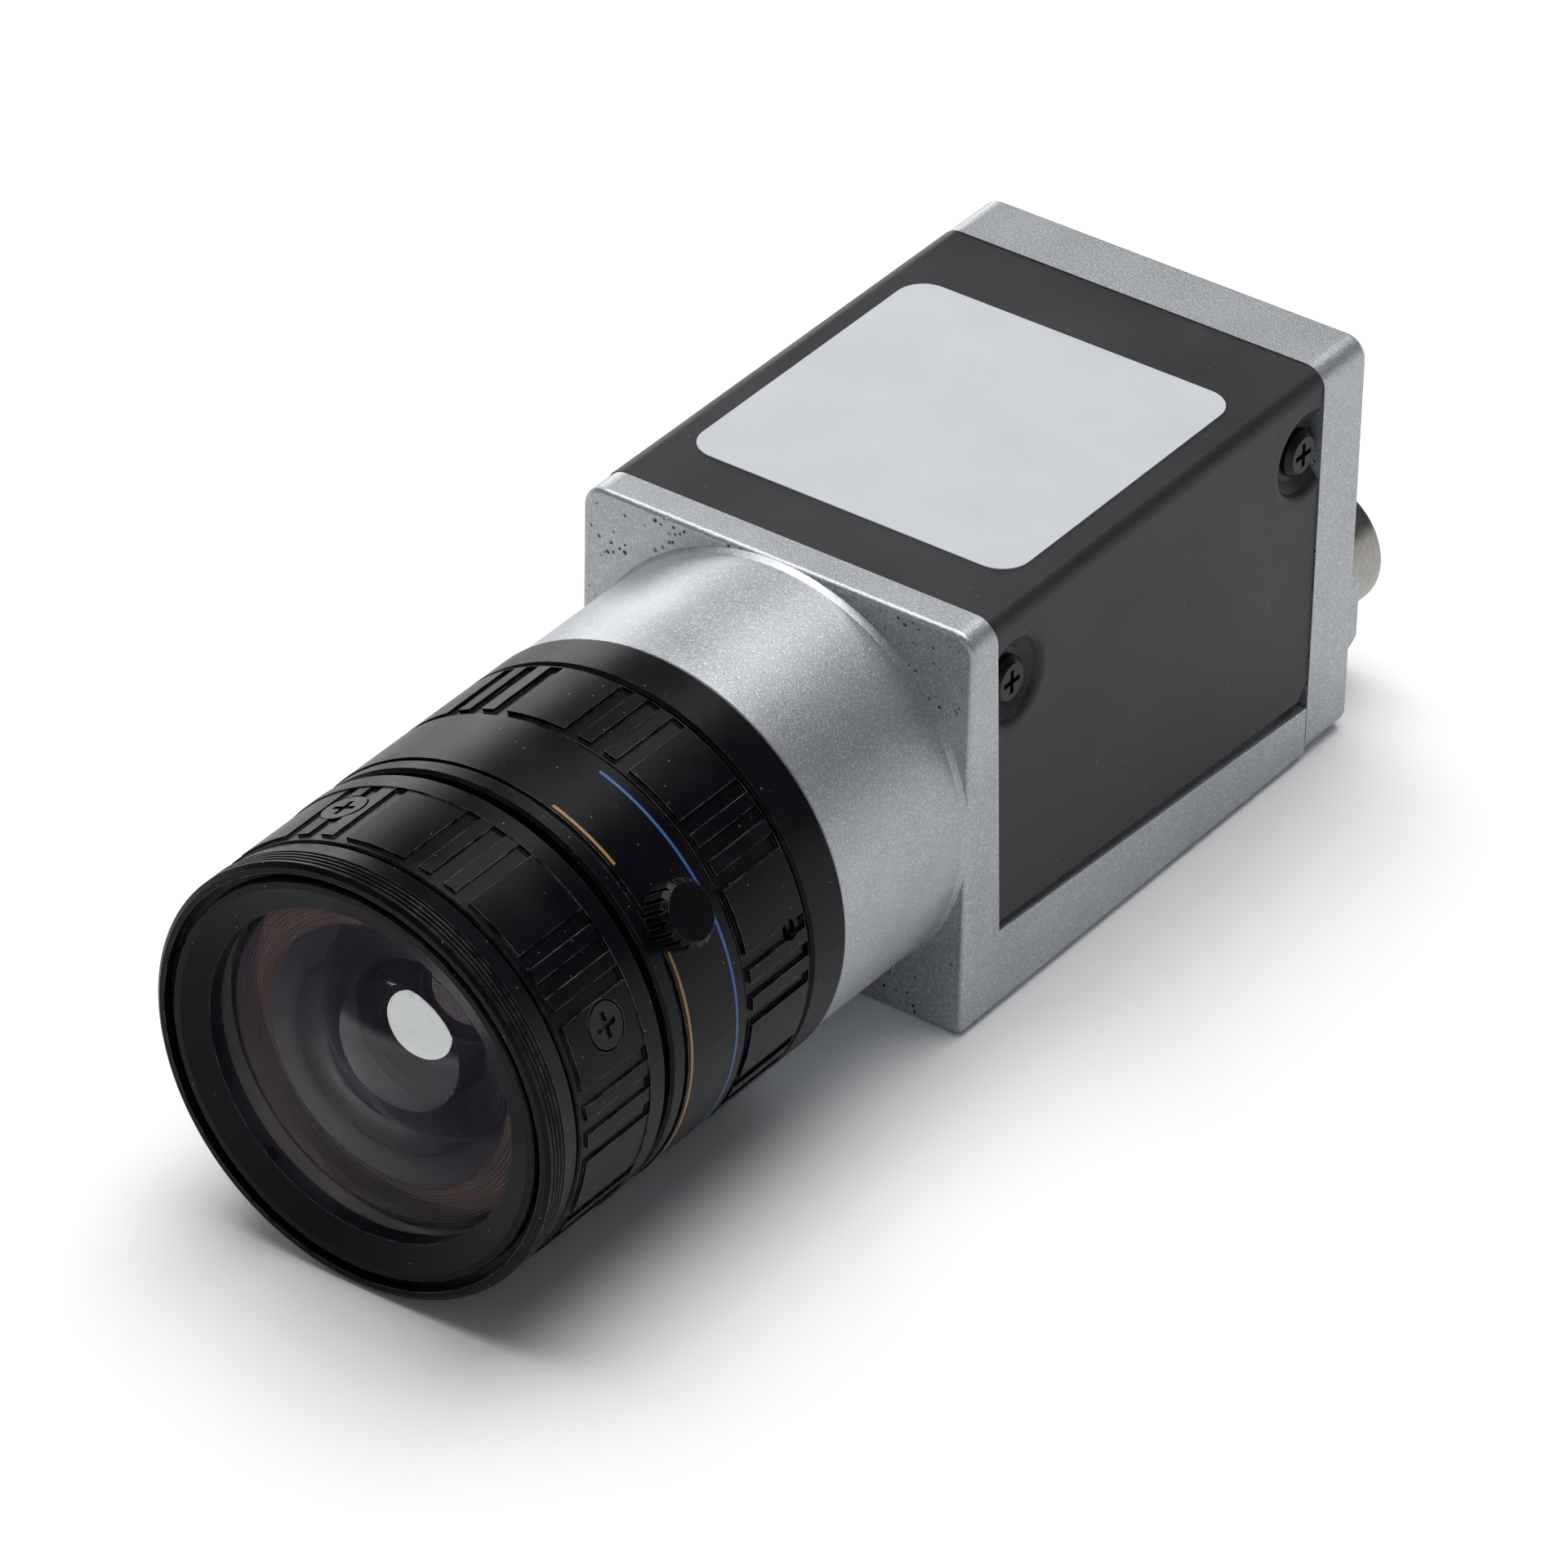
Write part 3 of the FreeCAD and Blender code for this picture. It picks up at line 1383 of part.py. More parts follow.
def iris_blade(index):
    """Thin crescent blade with a pivot pin in front and a drive pin behind."""
    body = new_lens_body(f"iris_blade_{index + 1}", index * 360 / SIZES["blade_count"])
    layer = f"blade_first + {index}*blade_pitch"
    inner, outer, lobe = "blade_inner", "blade_outer", "blade_lobe"
    heel, shoulder, tip = "blade_heel_angle", "blade_lobe_angle", "blade_tip_angle"
    outline = new_sketch(body, "XY_Plane", "outline", ("0", "0", layer))
    draw(outline, [
        polar(inner, heel),
        polar(lobe, heel) + (lobe, "left"),
        polar(lobe, shoulder),
        polar(outer, shoulder) + (outer, "left"),
        polar(outer, tip),
        polar(inner, tip) + (inner, "right"),
    ])
    pad(outline, "blade_thickness", "leaf")
    pivot = new_sketch(body, "XY_Plane", "pivot", ("0", "0", layer))
    draw_circle(pivot, "blade_pivot_radius", "0", "blade_pivot_pin")
    pad(pivot, f"cage_start + cage_thickness - {layer.replace(' + ', ' - ')}", "pivot_pin")
    drive = new_sketch(body, "XY_Plane", "drive", ("0", "0", "drive_web_start + blade_pin_gap"))
    across, rise = polar("blade_pivot_radius", "blade_cam_angle")
    draw_circle(drive, across, rise, "blade_pin_radius")
    pad(drive, f"{layer} - drive_web_start - blade_pin_gap + blade_thickness/2", "drive_pin")
    return node(body)


def iris_cage():
    body = turned("iris_cage", [
        ("cage_bore", "cage_start"),
        ("cage_radius", "cage_start"),
        ("cage_radius", "cage_start + cage_thickness"),
        ("cage_bore + 0.5", "cage_start + cage_thickness"),
        ("cage_bore", "cage_start + 0.3"),
    ])
    hole = new_sketch(body, "XY_Plane", "pivot_hole", ("0", "0", "cage_start - 1"))
    draw_circle(hole, "blade_pivot_radius", "0", "cage_hole_radius")
    drilled = pocket(hole, "cage_thickness + 2", "pivot_drilling", reverse=True)
    ring_of(body, [drilled], "blade_count", "pivot_holes")
    return node(body)


# ---------------------------------------------------------------- index band and lock screw

def index_band():
    chamfer = "lens_chamfer"
    body = turned("index_band", [
        ("band_bore", "band_start"),
        ("lens_radius - " + chamfer, "band_start"),
        ("lens_radius", "band_start + " + chamfer),
        ("lens_radius", "band_end"),
        ("band_groove_radius", "band_end"),
        ("band_groove_radius", "band_groove_end"),
        ("band_collar_radius", "band_groove_end"),
        ("band_collar_radius", "band_collar_end - " + chamfer),
        ("band_collar_radius - " + chamfer, "band_collar_end"),
        ("band_counterbore", "band_collar_end"),
        ("band_counterbore", "band_counterbore_start"),
        ("band_bore", "band_counterbore_start"),
    ])
    radial_hole(body, "lock_hole", SIZES["knob_angle"], "knob_station",
                "knob_hole_radius", "band_bore - 1", "4")
    return node(body)


def lock_screw():
    """Knurled thumb screw that holds the focus once it has been set."""
    body = new_radial_body("lock_screw", "knob_station", SIZES["knob_angle"])
    sketch = new_sketch(body, "XZ_Plane", "profile")
    draw(sketch, [
        ("0", "knob_tip"),
        ("knob_shank_radius", "knob_tip"),
        ("knob_shank_radius", "knob_base"),
        ("knob_radius", "knob_base"),
        ("knob_radius", "knob_top - knob_chamfer"),
        ("knob_radius - knob_chamfer", "knob_top"),
        ("0", "knob_top"),
    ])
    spin("Revolution", sketch, "V_Axis", "turning")
    ridge = new_sketch(body, "XY_Plane", "knurl", ("0", "0", "knob_base - 0.2"))
    draw(ridge, [
        ("knob_radius - knob_ridge_depth", "0"),
        ("knob_radius + 0.2", "- knob_ridge_depth"),
        ("knob_radius + 0.2", "knob_ridge_depth"),
    ])
    cutting = pocket(ridge, "knob_top - knob_base + 0.4", "knurl_cut", reverse=True)
    ring_of(body, [cutting], "knob_ridges", "knurling")
    return node(body)


def lock_pad():
    """Soft plug between the lock screw's tip and the focusing sleeve."""
    body = new_radial_body("lock_pad", "knob_station", SIZES["knob_angle"])
    sketch = new_sketch(body, "XY_Plane", "outline", ("0", "0", "pad_tip"))
    draw_circle(sketch, "0", "0", "knob_shank_radius")
    pad(sketch, "knob_tip - pad_tip - 0.02", "plug")
    return node(body)


# ---------------------------------------------------------------- focus ring

def focus_ring():
    chamfer = "lens_chamfer"
    body = turned("focus_ring", [
        ("focus_ring_bore", "focus_ring_start"),
        ("lens_radius - " + chamfer, "focus_ring_start"),
        ("lens_radius", "focus_ring_start + " + chamfer),
        ("lens_radius", "focus_groove_start"),
        ("lens_radius - focus_land_step", "focus_groove_start"),
        ("lens_radius - focus_land_step", "focus_groove_start + focus_groove_length"),
        ("lens_radius - groove_depth", "focus_groove_start + focus_groove_length"),
        ("lens_radius - groove_depth", f"focus_ring_end - {chamfer}/2"),
        (f"lens_radius - groove_depth - {chamfer}/2", "focus_ring_end"),
        ("focus_ring_bore", "focus_ring_end"),
    ])
    half_pitch = 180 / SIZES["groove_groups"]
    cut_grooves(body, SIZES["focus_pad_angle"] + half_pitch, "focus_groove_start",
                "focus_groove_length")
    hole = radial_hole(body, "screw_hole", SIZES["ring_screw_angle"], "ring_screw_station",
                       "ring_screw_shank_radius + 0.05", "focus_ring_bore - 1", "3")
    sink = radial_hole(body, "screw_sink", SIZES["ring_screw_angle"], "ring_screw_station",
                       "ring_screw_sink_radius", "ring_screw_sink", "2")
    ring_of(body, [hole, sink], "ring_screw_count", "screw_holes")
    return node(body)


def focus_sleeve():
    body = turned("focus_sleeve", [
        ("focus_sleeve_bore", "focus_sleeve_start"),
        ("focus_sleeve_radius", "focus_sleeve_start"),
        ("focus_sleeve_radius", "focus_sleeve_end"),
        ("focus_sleeve_bore", "focus_sleeve_end"),
    ])
    hole = radial_hole(body, "screw_hole", SIZES["ring_screw_angle"], "ring_screw_station",
                       "ring_screw_shank_radius + 0.02", "focus_sleeve_bore - 1", "3")
    ring_of(body, [hole], "ring_screw_count", "screw_holes")
    return node(body)


def focus_ring_screws():
    members = []
    for index in range(int(SIZES["ring_screw_count"])):
        angle = SIZES["ring_screw_angle"] + index * 360 / SIZES["ring_screw_count"]
        body = new_radial_body(f"focus_ring_screw_{index + 1}", "ring_screw_station", angle)
        members.append(radial_screw(
            body, "ring_screw_tip", "ring_screw_sink", "ring_screw_head_radius",
            "ring_screw_top", "ring_screw_shank_radius", "recess_length"))
    return node(group("focus_ring_screws", members))


# ---------------------------------------------------------------- focusing cell and glass

def focus_cell():
    body = turned("focus_cell", [
        ("second_bore", "cell_rear"),
        ("cell_inner_radius", "cell_rear"),
        ("cell_inner_radius", "cell_step"),
        ("cell_outer_radius", "cell_step"),
        ("cell_outer_radius", "rim_rear"),
        ("rim_neck_radius - 0.15", "rim_rear"),
        ("rim_neck_radius", "rim_rear + 0.15"),
        ("rim_radius", "rim_grooves_start"),
        ("rim_radius", "rim_front - rim_edge_width"),
        ("rim_edge_radius", "rim_front"),
        ("rim_bore", "rim_front"),
        ("rim_bore", "rim_recess"),
        ("thread_bore", "rim_recess"),
        ("thread_bore", "thread_end"),
        ("front_glass_bore", "thread_end"),
        ("front_glass_bore", "front_glass_seat"),
        ("baffle_bore", "front_glass_seat"),
        ("baffle_bore", "baffle_seat"),
        ("second_bore", "baffle_seat"),
    ])
    grip = new_sketch(body, "XZ_Plane", "grip_grooves")
    for index in range(int(SIZES["rim_groove_count"])):
        start = f"rim_grooves_start + {index}*rim_groove_pitch"
        draw(grip, [
            ("rim_radius - rim_groove_depth", start + " + rim_groove_width/2"),
            ("rim_radius + rim_groove_depth", start + " - rim_groove_width/2"),
            ("rim_radius + rim_groove_depth", start + " + 1.5*rim_groove_width"),
        ])
    spin("Groove", grip, "V_Axis", "grip_turning")
    return node(body)


def front_retainer():
    body = turned("front_retainer", [
        ("front_glass_bore + 0.05", "thread_end"),
        ("retainer_radius", "thread_end"),
        ("retainer_radius", "retainer_front - 0.1"),
        ("retainer_radius - 0.1", "retainer_front"),
        ("retainer_flat", "retainer_front"),
        ("retainer_throat", "retainer_cone_end"),
        ("retainer_throat", "retainer_seat"),
        ("front_glass_bore + 0.05", "retainer_seat"),
    ])
    return node(body)


def baffle_cone():
    """Stepped black cone that keeps stray light off the second glass."""
    steps = int(SIZES["baffle_steps"])
    corners = [
        ("baffle_radius", "baffle_seat"),
        ("baffle_radius", "baffle_front"),
    ]
    for index in range(steps):
        reach = f"baffle_mouth - {index}*baffle_step_in"
        upper, lower = (
            f"baffle_front - {step}*baffle_front/baffle_steps + "
            f"{step}*baffle_seat/baffle_steps" for step in (index, index + 1))
        corners.append((reach, upper))
        corners.append((reach, lower))
    return node(turned("baffle_cone", corners))


def rear_cell():
    return node(turned("rear_cell", [
        ("rear_glass_radius + 0.03", "rear_cell_start"),
        ("rear_cell_nose", "rear_cell_start"),
        ("rear_cell_nose", "rear_cell_seat"),
        ("rear_cell_flange", "rear_cell_seat"),
        ("rear_cell_flange", "rear_cell_flange_end"),
        ("rear_cell_neck", "rear_cell_flange_end"),
        ("rear_cell_neck", "rear_cell_end"),
        ("doublet_radius + 0.03", "rear_cell_end"),
        ("doublet_radius + 0.03", "doublet_rear"),
        ("rear_throat", "doublet_rear"),
        ("rear_throat", "rear_glass_seat"),
        ("rear_glass_radius + 0.03", "rear_glass_seat"),
    ]))


def glasses():
    blank = disc("front_element_blank", "front_glass_radius", "front_glass_seat",
                 "front_glass_apex")
    front = common("front_element_dome", blank,
                   ball("front_element_ball", "front_glass_curve", "front_glass_apex"))
    hollow = ball("front_element_hollow", "front_glass_rear_curve",
                  "front_glass_rear_apex")
    node(cut("front_element", front, hollow))
    blank = disc("second_element_blank", "second_glass_radius", "second_glass_rear",
                 "second_glass_apex")
    node(common("second_element", blank,
                ball("second_element_ball", "second_glass_curve", "second_glass_apex")))
    for label, radius, rear, front_edge in (
            ("rear_doublet", "doublet_radius", "doublet_rear", "doublet_front"),
            ("rear_element", "rear_glass_radius", "rear_ring_front", "rear_glass_seat")):
        node(turned(label, [
            ("0", rear),
            (radius, rear),
            (radius, front_edge + " - glass_bevel"),
            (radius + " - glass_bevel", front_edge),
            ("0", front_edge),
        ]))


front_housing()
rear_plate()
cover()
label_plate()
cover_screws()
sensor_parts()
board_stack()
ethernet_socket()
power_socket()
lens_barrel()
iris_ring()
iris_drive_screw()
iris_drive_ring()
for number_in_set in range(int(SIZES["blade_count"])):
    iris_blade(number_in_set)
iris_cage()
index_band()
lock_screw()
lock_pad()
focus_ring()
focus_sleeve()
focus_ring_screws()
focus_cell()
front_retainer()
baffle_cone()
node(turned("second_ring", [
    ("second_ring_bore", "second_ring_start"),
    ("second_glass_radius", "second_ring_start"),
    ("second_glass_radius", "second_glass_rear"),
    ("second_ring_bore", "second_glass_rear"),
]))
rear_cell()
node(turned("rear_ring", [
    ("rear_ring_bore", "rear_cell_start"),
    ("rear_glass_radius", "rear_cell_start"),
    ("rear_glass_radius", "rear_ring_front"),
    ("rear_ring_bore", "rear_ring_front"),
]))
glasses()
doc.recompute()

faults = [item.Label for item in doc.Objects
          if "Invalid" in item.State or "Error" in item.State]
faults += [item.Label for item in NODES if item.Shape.isNull() or not item.Shape.isValid()]
faults += [item.Label for item in CUTS
           if item.BaseFeature.Shape.Volume - item.Shape.Volume < 1e-4]
if faults:
    raise RuntimeError("not built: " + ", ".join(faults))

os.makedirs("parts", exist_ok=True)
for item in NODES:
    item.Shape.exportStep(f"parts/{item.Label}.step")
print(len(NODES), "nodes written")
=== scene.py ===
"""Looks of the machine vision camera, dressed round the CAD frame.

The frame's lengths are in metres: +X is the side with the round power socket, +Y points
back from the lens and +Z is up. Radii and stations on the lens, and sizes and depths in
materials, are in millimetres. A station is a distance ahead of the housing's front face.
"""

import json
import math

import bpy
import bmesh
from mathutils import Euler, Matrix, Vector

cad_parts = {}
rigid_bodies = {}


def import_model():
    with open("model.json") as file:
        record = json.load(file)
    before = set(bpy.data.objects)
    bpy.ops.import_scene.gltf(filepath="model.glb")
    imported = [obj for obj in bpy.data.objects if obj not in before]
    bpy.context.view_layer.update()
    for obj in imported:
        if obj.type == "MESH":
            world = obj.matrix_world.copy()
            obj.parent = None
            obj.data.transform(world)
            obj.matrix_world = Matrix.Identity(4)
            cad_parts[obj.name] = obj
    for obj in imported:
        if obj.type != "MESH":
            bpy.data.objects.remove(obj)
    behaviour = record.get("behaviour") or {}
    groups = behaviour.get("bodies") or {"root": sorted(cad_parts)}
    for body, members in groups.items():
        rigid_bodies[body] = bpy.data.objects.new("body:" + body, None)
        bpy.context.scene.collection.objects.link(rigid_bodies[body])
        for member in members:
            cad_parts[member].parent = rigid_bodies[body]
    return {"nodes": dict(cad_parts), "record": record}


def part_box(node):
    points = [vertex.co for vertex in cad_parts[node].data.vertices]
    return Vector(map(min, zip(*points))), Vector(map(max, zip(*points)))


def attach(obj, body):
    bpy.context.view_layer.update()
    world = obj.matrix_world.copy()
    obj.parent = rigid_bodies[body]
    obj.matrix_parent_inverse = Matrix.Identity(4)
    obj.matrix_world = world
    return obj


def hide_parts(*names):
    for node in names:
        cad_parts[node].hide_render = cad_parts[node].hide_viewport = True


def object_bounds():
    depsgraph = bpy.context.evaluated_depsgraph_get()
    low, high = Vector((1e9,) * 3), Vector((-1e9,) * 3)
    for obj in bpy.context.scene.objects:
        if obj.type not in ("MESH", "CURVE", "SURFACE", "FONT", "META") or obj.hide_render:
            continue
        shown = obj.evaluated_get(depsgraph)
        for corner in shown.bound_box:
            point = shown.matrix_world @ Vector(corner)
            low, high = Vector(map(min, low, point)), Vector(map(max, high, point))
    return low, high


for leftover in list(bpy.data.objects):
    bpy.data.objects.remove(leftover)

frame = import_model()
cad_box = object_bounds()

MM = 0.001
WHITE = (1.0, 1.0, 1.0, 1.0)
RIM_STATION = 42.0
TURNED_SEGMENTS = 240
SHARP_ANGLE = math.radians(28.0)
MERGE_DISTANCE = 1e-7
USUAL_NOISE = (0.3, 0.7)
MIDDLE_NOISE = (0.35, 0.65)

barrel_low, barrel_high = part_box("lens_barrel")
rim_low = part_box("focus_cell")[0]
AXIS_X = (barrel_low.x + barrel_high.x) / 2
AXIS_Z = (barrel_low.z + barrel_high.z) / 2
LENS_RADIUS = (barrel_high.x - barrel_low.x) / 2
HOUSING_FACE = rim_low.y + RIM_STATION * MM


# ---------------------------------------------------------------- node graphs

class Graph:
    """Builds the nodes of one material or of the world."""

    def __init__(self, owner, output="ShaderNodeOutputMaterial", coordinate="Object"):
        owner.use_nodes = True
        self.nodes = owner.node_tree.nodes
        self.links = owner.node_tree.links
        self.nodes.clear()
        self.surface = self.add(output).inputs["Surface"]
        self.place = self.add("ShaderNodeTexCoord").outputs[coordinate]
        self.owner = owner

    def add(self, kind, **settings):
        node = self.nodes.new(kind)
        for key, value in settings.items():
            setattr(node, key, value)
        return node

    def feed(self, socket, value):
        """Link a socket to another, or write a number or a colour on it."""
        if isinstance(value, tuple):
            socket.default_value = value if len(value) == 4 else (*value, 1.0)
        elif isinstance(value, (int, float)):
            socket.default_value = value
        else:
            self.links.new(value, socket)

    def noise(self, size, detail=4.0, rough=0.55, stretch=(1, 1, 1)):
        """Noise whose blotches are about the given size."""
        mapping = self.add("ShaderNodeMapping")
        mapping.inputs["Scale"].default_value = stretch
        self.feed(mapping.inputs["Vector"], self.place)
        texture = self.add("ShaderNodeTexNoise")
        texture.inputs["Scale"].default_value = 1 / (size * MM)
        texture.inputs["Detail"].default_value = detail
        texture.inputs["Roughness"].default_value = rough
        self.feed(texture.inputs["Vector"], mapping.outputs["Vector"])
        return texture.outputs["Fac"]

    def turning(self, size):
        """Fine marks that run round the lens axis."""
        return self.noise(size, 2.0, 0.5, stretch=(0.0, 1.0, 0.0))

    def stretch(self, value, low, high, bottom=0.0, top=1.0, curve="LINEAR"):
        node = self.add("ShaderNodeMapRange", clamp=True, interpolation_type=curve)
        for key, number in (("Value", value), ("From Min", low), ("From Max", high),
                            ("To Min", bottom), ("To Max", top)):
            self.feed(node.inputs[key], number)
        return node.outputs["Result"]

    def spread(self, noise, bottom=0.0, top=1.0):
        """A noise's usual values, spread evenly from bottom to top."""
        return self.stretch(noise, *USUAL_NOISE, bottom, top)

    def patches(self, noise, bottom=0.0, top=1.0):
        """The same with more contrast."""
        return self.stretch(noise, *MIDDLE_NOISE, bottom, top)

    def dots(self, size, core, rim):
        """1 in small dots strewn over cells of the given size, 0 between them."""
        texture = self.add("ShaderNodeTexVoronoi")
        texture.inputs["Scale"].default_value = 1 / (size * MM)
        self.feed(texture.inputs["Vector"], self.place)
        return self.stretch(texture.outputs["Distance"], core, rim, 1.0, 0.0)

    def math(self, operation, first, second):
        node = self.add("ShaderNodeMath", operation=operation)
        self.feed(node.inputs[0], first)
        self.feed(node.inputs[1], second)
        return node.outputs[0]

    def times(self, first, second):
        return self.math("MULTIPLY", first, second)

    def blend(self, share, first, second):
        """Colour between two colours or sockets."""
        node = self.add("ShaderNodeMix", data_type="RGBA")
        for index, value in ((0, share), (6, first), (7, second)):
            self.feed(node.inputs[index], value)
        return node.outputs[2]

    def bump(self, height, depth, below=None):
        """Bump of a depth, on top of another bump if one is given."""
        node = self.add("ShaderNodeBump")
        node.inputs["Distance"].default_value = depth * MM
        self.feed(node.inputs["Height"], height)
        if below is not None:
            self.feed(node.inputs["Normal"], below)
        return node.outputs["Normal"]

    def edges(self, reach):
        """1 on edges that lie within the given reach, 0 on open faces."""
        round_off = self.add("ShaderNodeBevel", samples=6)
        round_off.inputs["Radius"].default_value = reach * MM
        dot = self.add("ShaderNodeVectorMath", operation="DOT_PRODUCT")
        self.feed(dot.inputs[0], round_off.outputs["Normal"])
        self.feed(dot.inputs[1], self.add("ShaderNodeNewGeometry").outputs["Normal"])
        sharp, flat = 0.80, 0.97
        return self.stretch(dot.outputs["Value"], sharp, flat, 1.0, 0.0)

    def facing_front(self):
        """1 on faces that look towards -Y, almost 0 on the others."""
        split = self.add("ShaderNodeSeparateXYZ")
        self.feed(split.inputs[0], self.add("ShaderNodeNewGeometry").outputs["Normal"])
        square_on, aslant, elsewhere = -0.95, -0.7, 0.05
        return self.stretch(split.outputs["Y"], square_on, aslant, 1.0, elsewhere)

    def shiny_rays(self, path):
        """1 for rays that a gloss or a glass sends on."""
        return self.math("MAXIMUM", path.outputs["Is Glossy Ray"],
                         path.outputs["Is Transmission Ray"])

    def mix(self, share, first, second):
        """Shader between two shaders."""
        node = self.add("ShaderNodeMixShader")
        for index, value in enumerate((share, first, second)):
            self.feed(node.inputs[index], value)
        return node.outputs[0]

    def principled(self, colour, rough, normal=None, **constants):
        shader = self.add("ShaderNodeBsdfPrincipled")
        self.feed(shader.inputs["Base Color"], colour)
        self.feed(shader.inputs["Roughness"], rough)
        if normal is not None:
            self.feed(shader.inputs["Normal"], normal)
        for key, value in constants.items():
            shader.inputs[key.replace("_", " ")].default_value = value
        return shader.outputs[0]

    def finish(self, colour, rough, normal=None, **constants):
        shader = self.principled(colour, rough, normal, **constants)
        self.feed(self.surface, shader)
        return self.owner


# ---------------------------------------------------------------- materials

def cast_silver():
    """Satin silver paint on a die casting, fine-grained, with pores in the front face."""
    g = Graph(bpy.data.materials.new("cast_silver"))
    grain = g.noise(0.13, 3.0, 0.6)
    cloud = g.noise(5.0, 3.0, 0.5)
    paint = g.blend(g.patches(cloud), (0.41, 0.425, 0.445), (0.47, 0.485, 0.505))
    paint = g.blend(g.stretch(grain, 0.49, 0.68), paint, (0.70, 0.715, 0.735))
    # Lighter edges: partly rubbed paint, partly a painted edge highlight along every edge.
    worn = g.times(g.edges(0.16), g.patches(grain, 0.3, 1.0))
    paint = g.blend(worn, paint, (0.72, 0.73, 0.75))
    pores = g.math("MAXIMUM", g.dots(0.60, 0.14, 0.22), g.dots(1.15, 0.10, 0.15))
    porous = g.stretch(g.noise(3.0, 4.0, 0.75), 0.47, 0.54)
    pits = g.times(g.times(pores, porous), g.facing_front())
    colour = g.blend(pits, paint, (0.04, 0.04, 0.04))
    normal = g.bump(grain, 0.012)
    normal = g.bump(g.math("SUBTRACT", 1.0, pits), 0.12, normal)
    return g.finish(colour, g.spread(grain, 0.35, 0.48), normal, Metallic=0.76)


def cover_black():
    """Fine-grained black powder coat with a faint warm cast."""
    g = Graph(bpy.data.materials.new("cover_black"))
    grain = g.noise(0.22, 3.0, 0.6)
    cloud = g.noise(9.0, 3.0, 0.5)
    colour = g.blend(g.patches(cloud), (0.0225, 0.0215, 0.0250), (0.0300, 0.0288, 0.0330))
    colour = g.blend(g.times(g.dots(1.7, 0.03, 0.05), 0.35), colour, (0.3, 0.28, 0.28))
    # Lighter edges: partly rubbed coat, partly a painted edge highlight along every edge.
    worn = g.times(g.edges(0.15), g.stretch(grain, 0.35, 0.7, 0.1, 0.6))
    colour = g.blend(worn, colour, (0.10, 0.095, 0.095))
    return g.finish(colour, g.spread(cloud, 0.40, 0.5), g.bump(grain, 0.006),
                    Specular_IOR_Level=0.3)


def label_film():
    """Pale grey satin film, not quite flat."""
    g = Graph(bpy.data.materials.new("label_film"))
    cloud = g.noise(6.0, 3.0, 0.5)
    colour = g.blend(g.spread(cloud), (0.585, 0.61, 0.635), (0.625, 0.65, 0.675))
    return g.finish(colour, g.spread(g.noise(1.2, 3.0), 0.30, 0.40),
                    g.bump(g.noise(2.5, 2.0), 0.006), Specular_IOR_Level=0.5)


def print_ink(name, colour):
    """Printed ink, slightly uneven."""
    g = Graph(bpy.data.materials.new(name))
    worn = g.stretch(g.noise(0.5, 4.0), 0.3, 0.75)
    darker = tuple(channel * 0.72 for channel in colour)
    return g.finish(g.blend(worn, colour, darker), g.stretch(worn, 0.0, 1.0, 0.35, 0.5),
                    g.bump(worn, 0.004))


def lens_black():
    """Satin black anodising over fine turning marks, lighter on its edges from rubbing and a
    painted edge highlight, with some dust.
    """
    g = Graph(bpy.data.materials.new("lens_black"))
    cloud = g.noise(4.0, 4.0, 0.6)
    colour = g.blend(g.patches(cloud), (0.0028, 0.0027, 0.0045), (0.0050, 0.0048, 0.0072))
    dusty = g.stretch(g.noise(2.6, 4.0, 0.7), 0.43, 0.52)
    dust = g.times(g.dots(0.8, 0.045, 0.07), dusty)
    colour = g.blend(dust, colour, (0.26, 0.25, 0.25))
    # Grey edges: partly rubbed anodising, partly a painted edge highlight.
    rubbed_and_edge_sheen = g.times(g.edges(0.09), g.stretch(g.noise(1.3, 4.0, 0.7), 0.40, 0.60))
    colour = g.blend(g.times(rubbed_and_edge_sheen, 0.85), colour, (0.24, 0.235, 0.235))
    normal = g.bump(g.turning(0.09), 0.004)
    normal = g.bump(g.noise(0.11, 2.0), 0.005, normal)
    return g.finish(colour, g.spread(cloud, 0.26, 0.36), normal, Specular_IOR_Level=0.13)


def lens_matt():
    """Matt black blacking inside the lens."""
    g = Graph(bpy.data.materials.new("lens_matt"))
    marks = g.turning(0.12)
    colour = g.blend(g.spread(g.noise(2.0)), (0.006, 0.0055, 0.006), (0.011, 0.010, 0.011))
    return g.finish(colour, g.spread(marks, 0.42, 0.6), g.bump(marks, 0.006),
                    Specular_IOR_Level=0.16)


def baffle_black():
    """Ridged stray light baffle, seen brownish through the coated glass."""
    g = Graph(bpy.data.materials.new("baffle_black"))
    marks = g.turning(0.2)
    colour = g.blend(g.spread(marks), (0.0036, 0.0029, 0.0035), (0.0062, 0.0052, 0.0061))
    return g.finish(colour, g.spread(marks, 0.4, 0.6), g.bump(marks, 0.006),
                    Specular_IOR_Level=0.12)


def coated_glass(name, tint, glow, index=1.62, film=0.0):
    """Optical glass; its anti-reflection film has a thickness in nanometres.

    tint colours what is seen through the glass and glow what its face reflects.
    """
    g = Graph(bpy.data.materials.new(name))
    rough = g.stretch(g.noise(6.0, 2.0), 0.0, 1.0, 0.0, 0.004)
    return g.finish(tint, rough, None, Transmission_Weight=1.0, IOR=index,
                    Specular_Tint=(*glow, 1.0), Thin_Film_Thickness=film, Thin_Film_IOR=1.38)


def worn_metal(name, dark, light, rough, grain=0.3):
    """Bare metal with a fine uneven grain."""
    g = Graph(bpy.data.materials.new(name))
    speck = g.noise(grain, 4.0, 0.6)
    return g.finish(g.blend(g.spread(speck), dark, light),
                    g.spread(g.noise(1.5, 4.0), rough, rough + 0.14),
                    g.bump(speck, 0.004), Metallic=1.0)


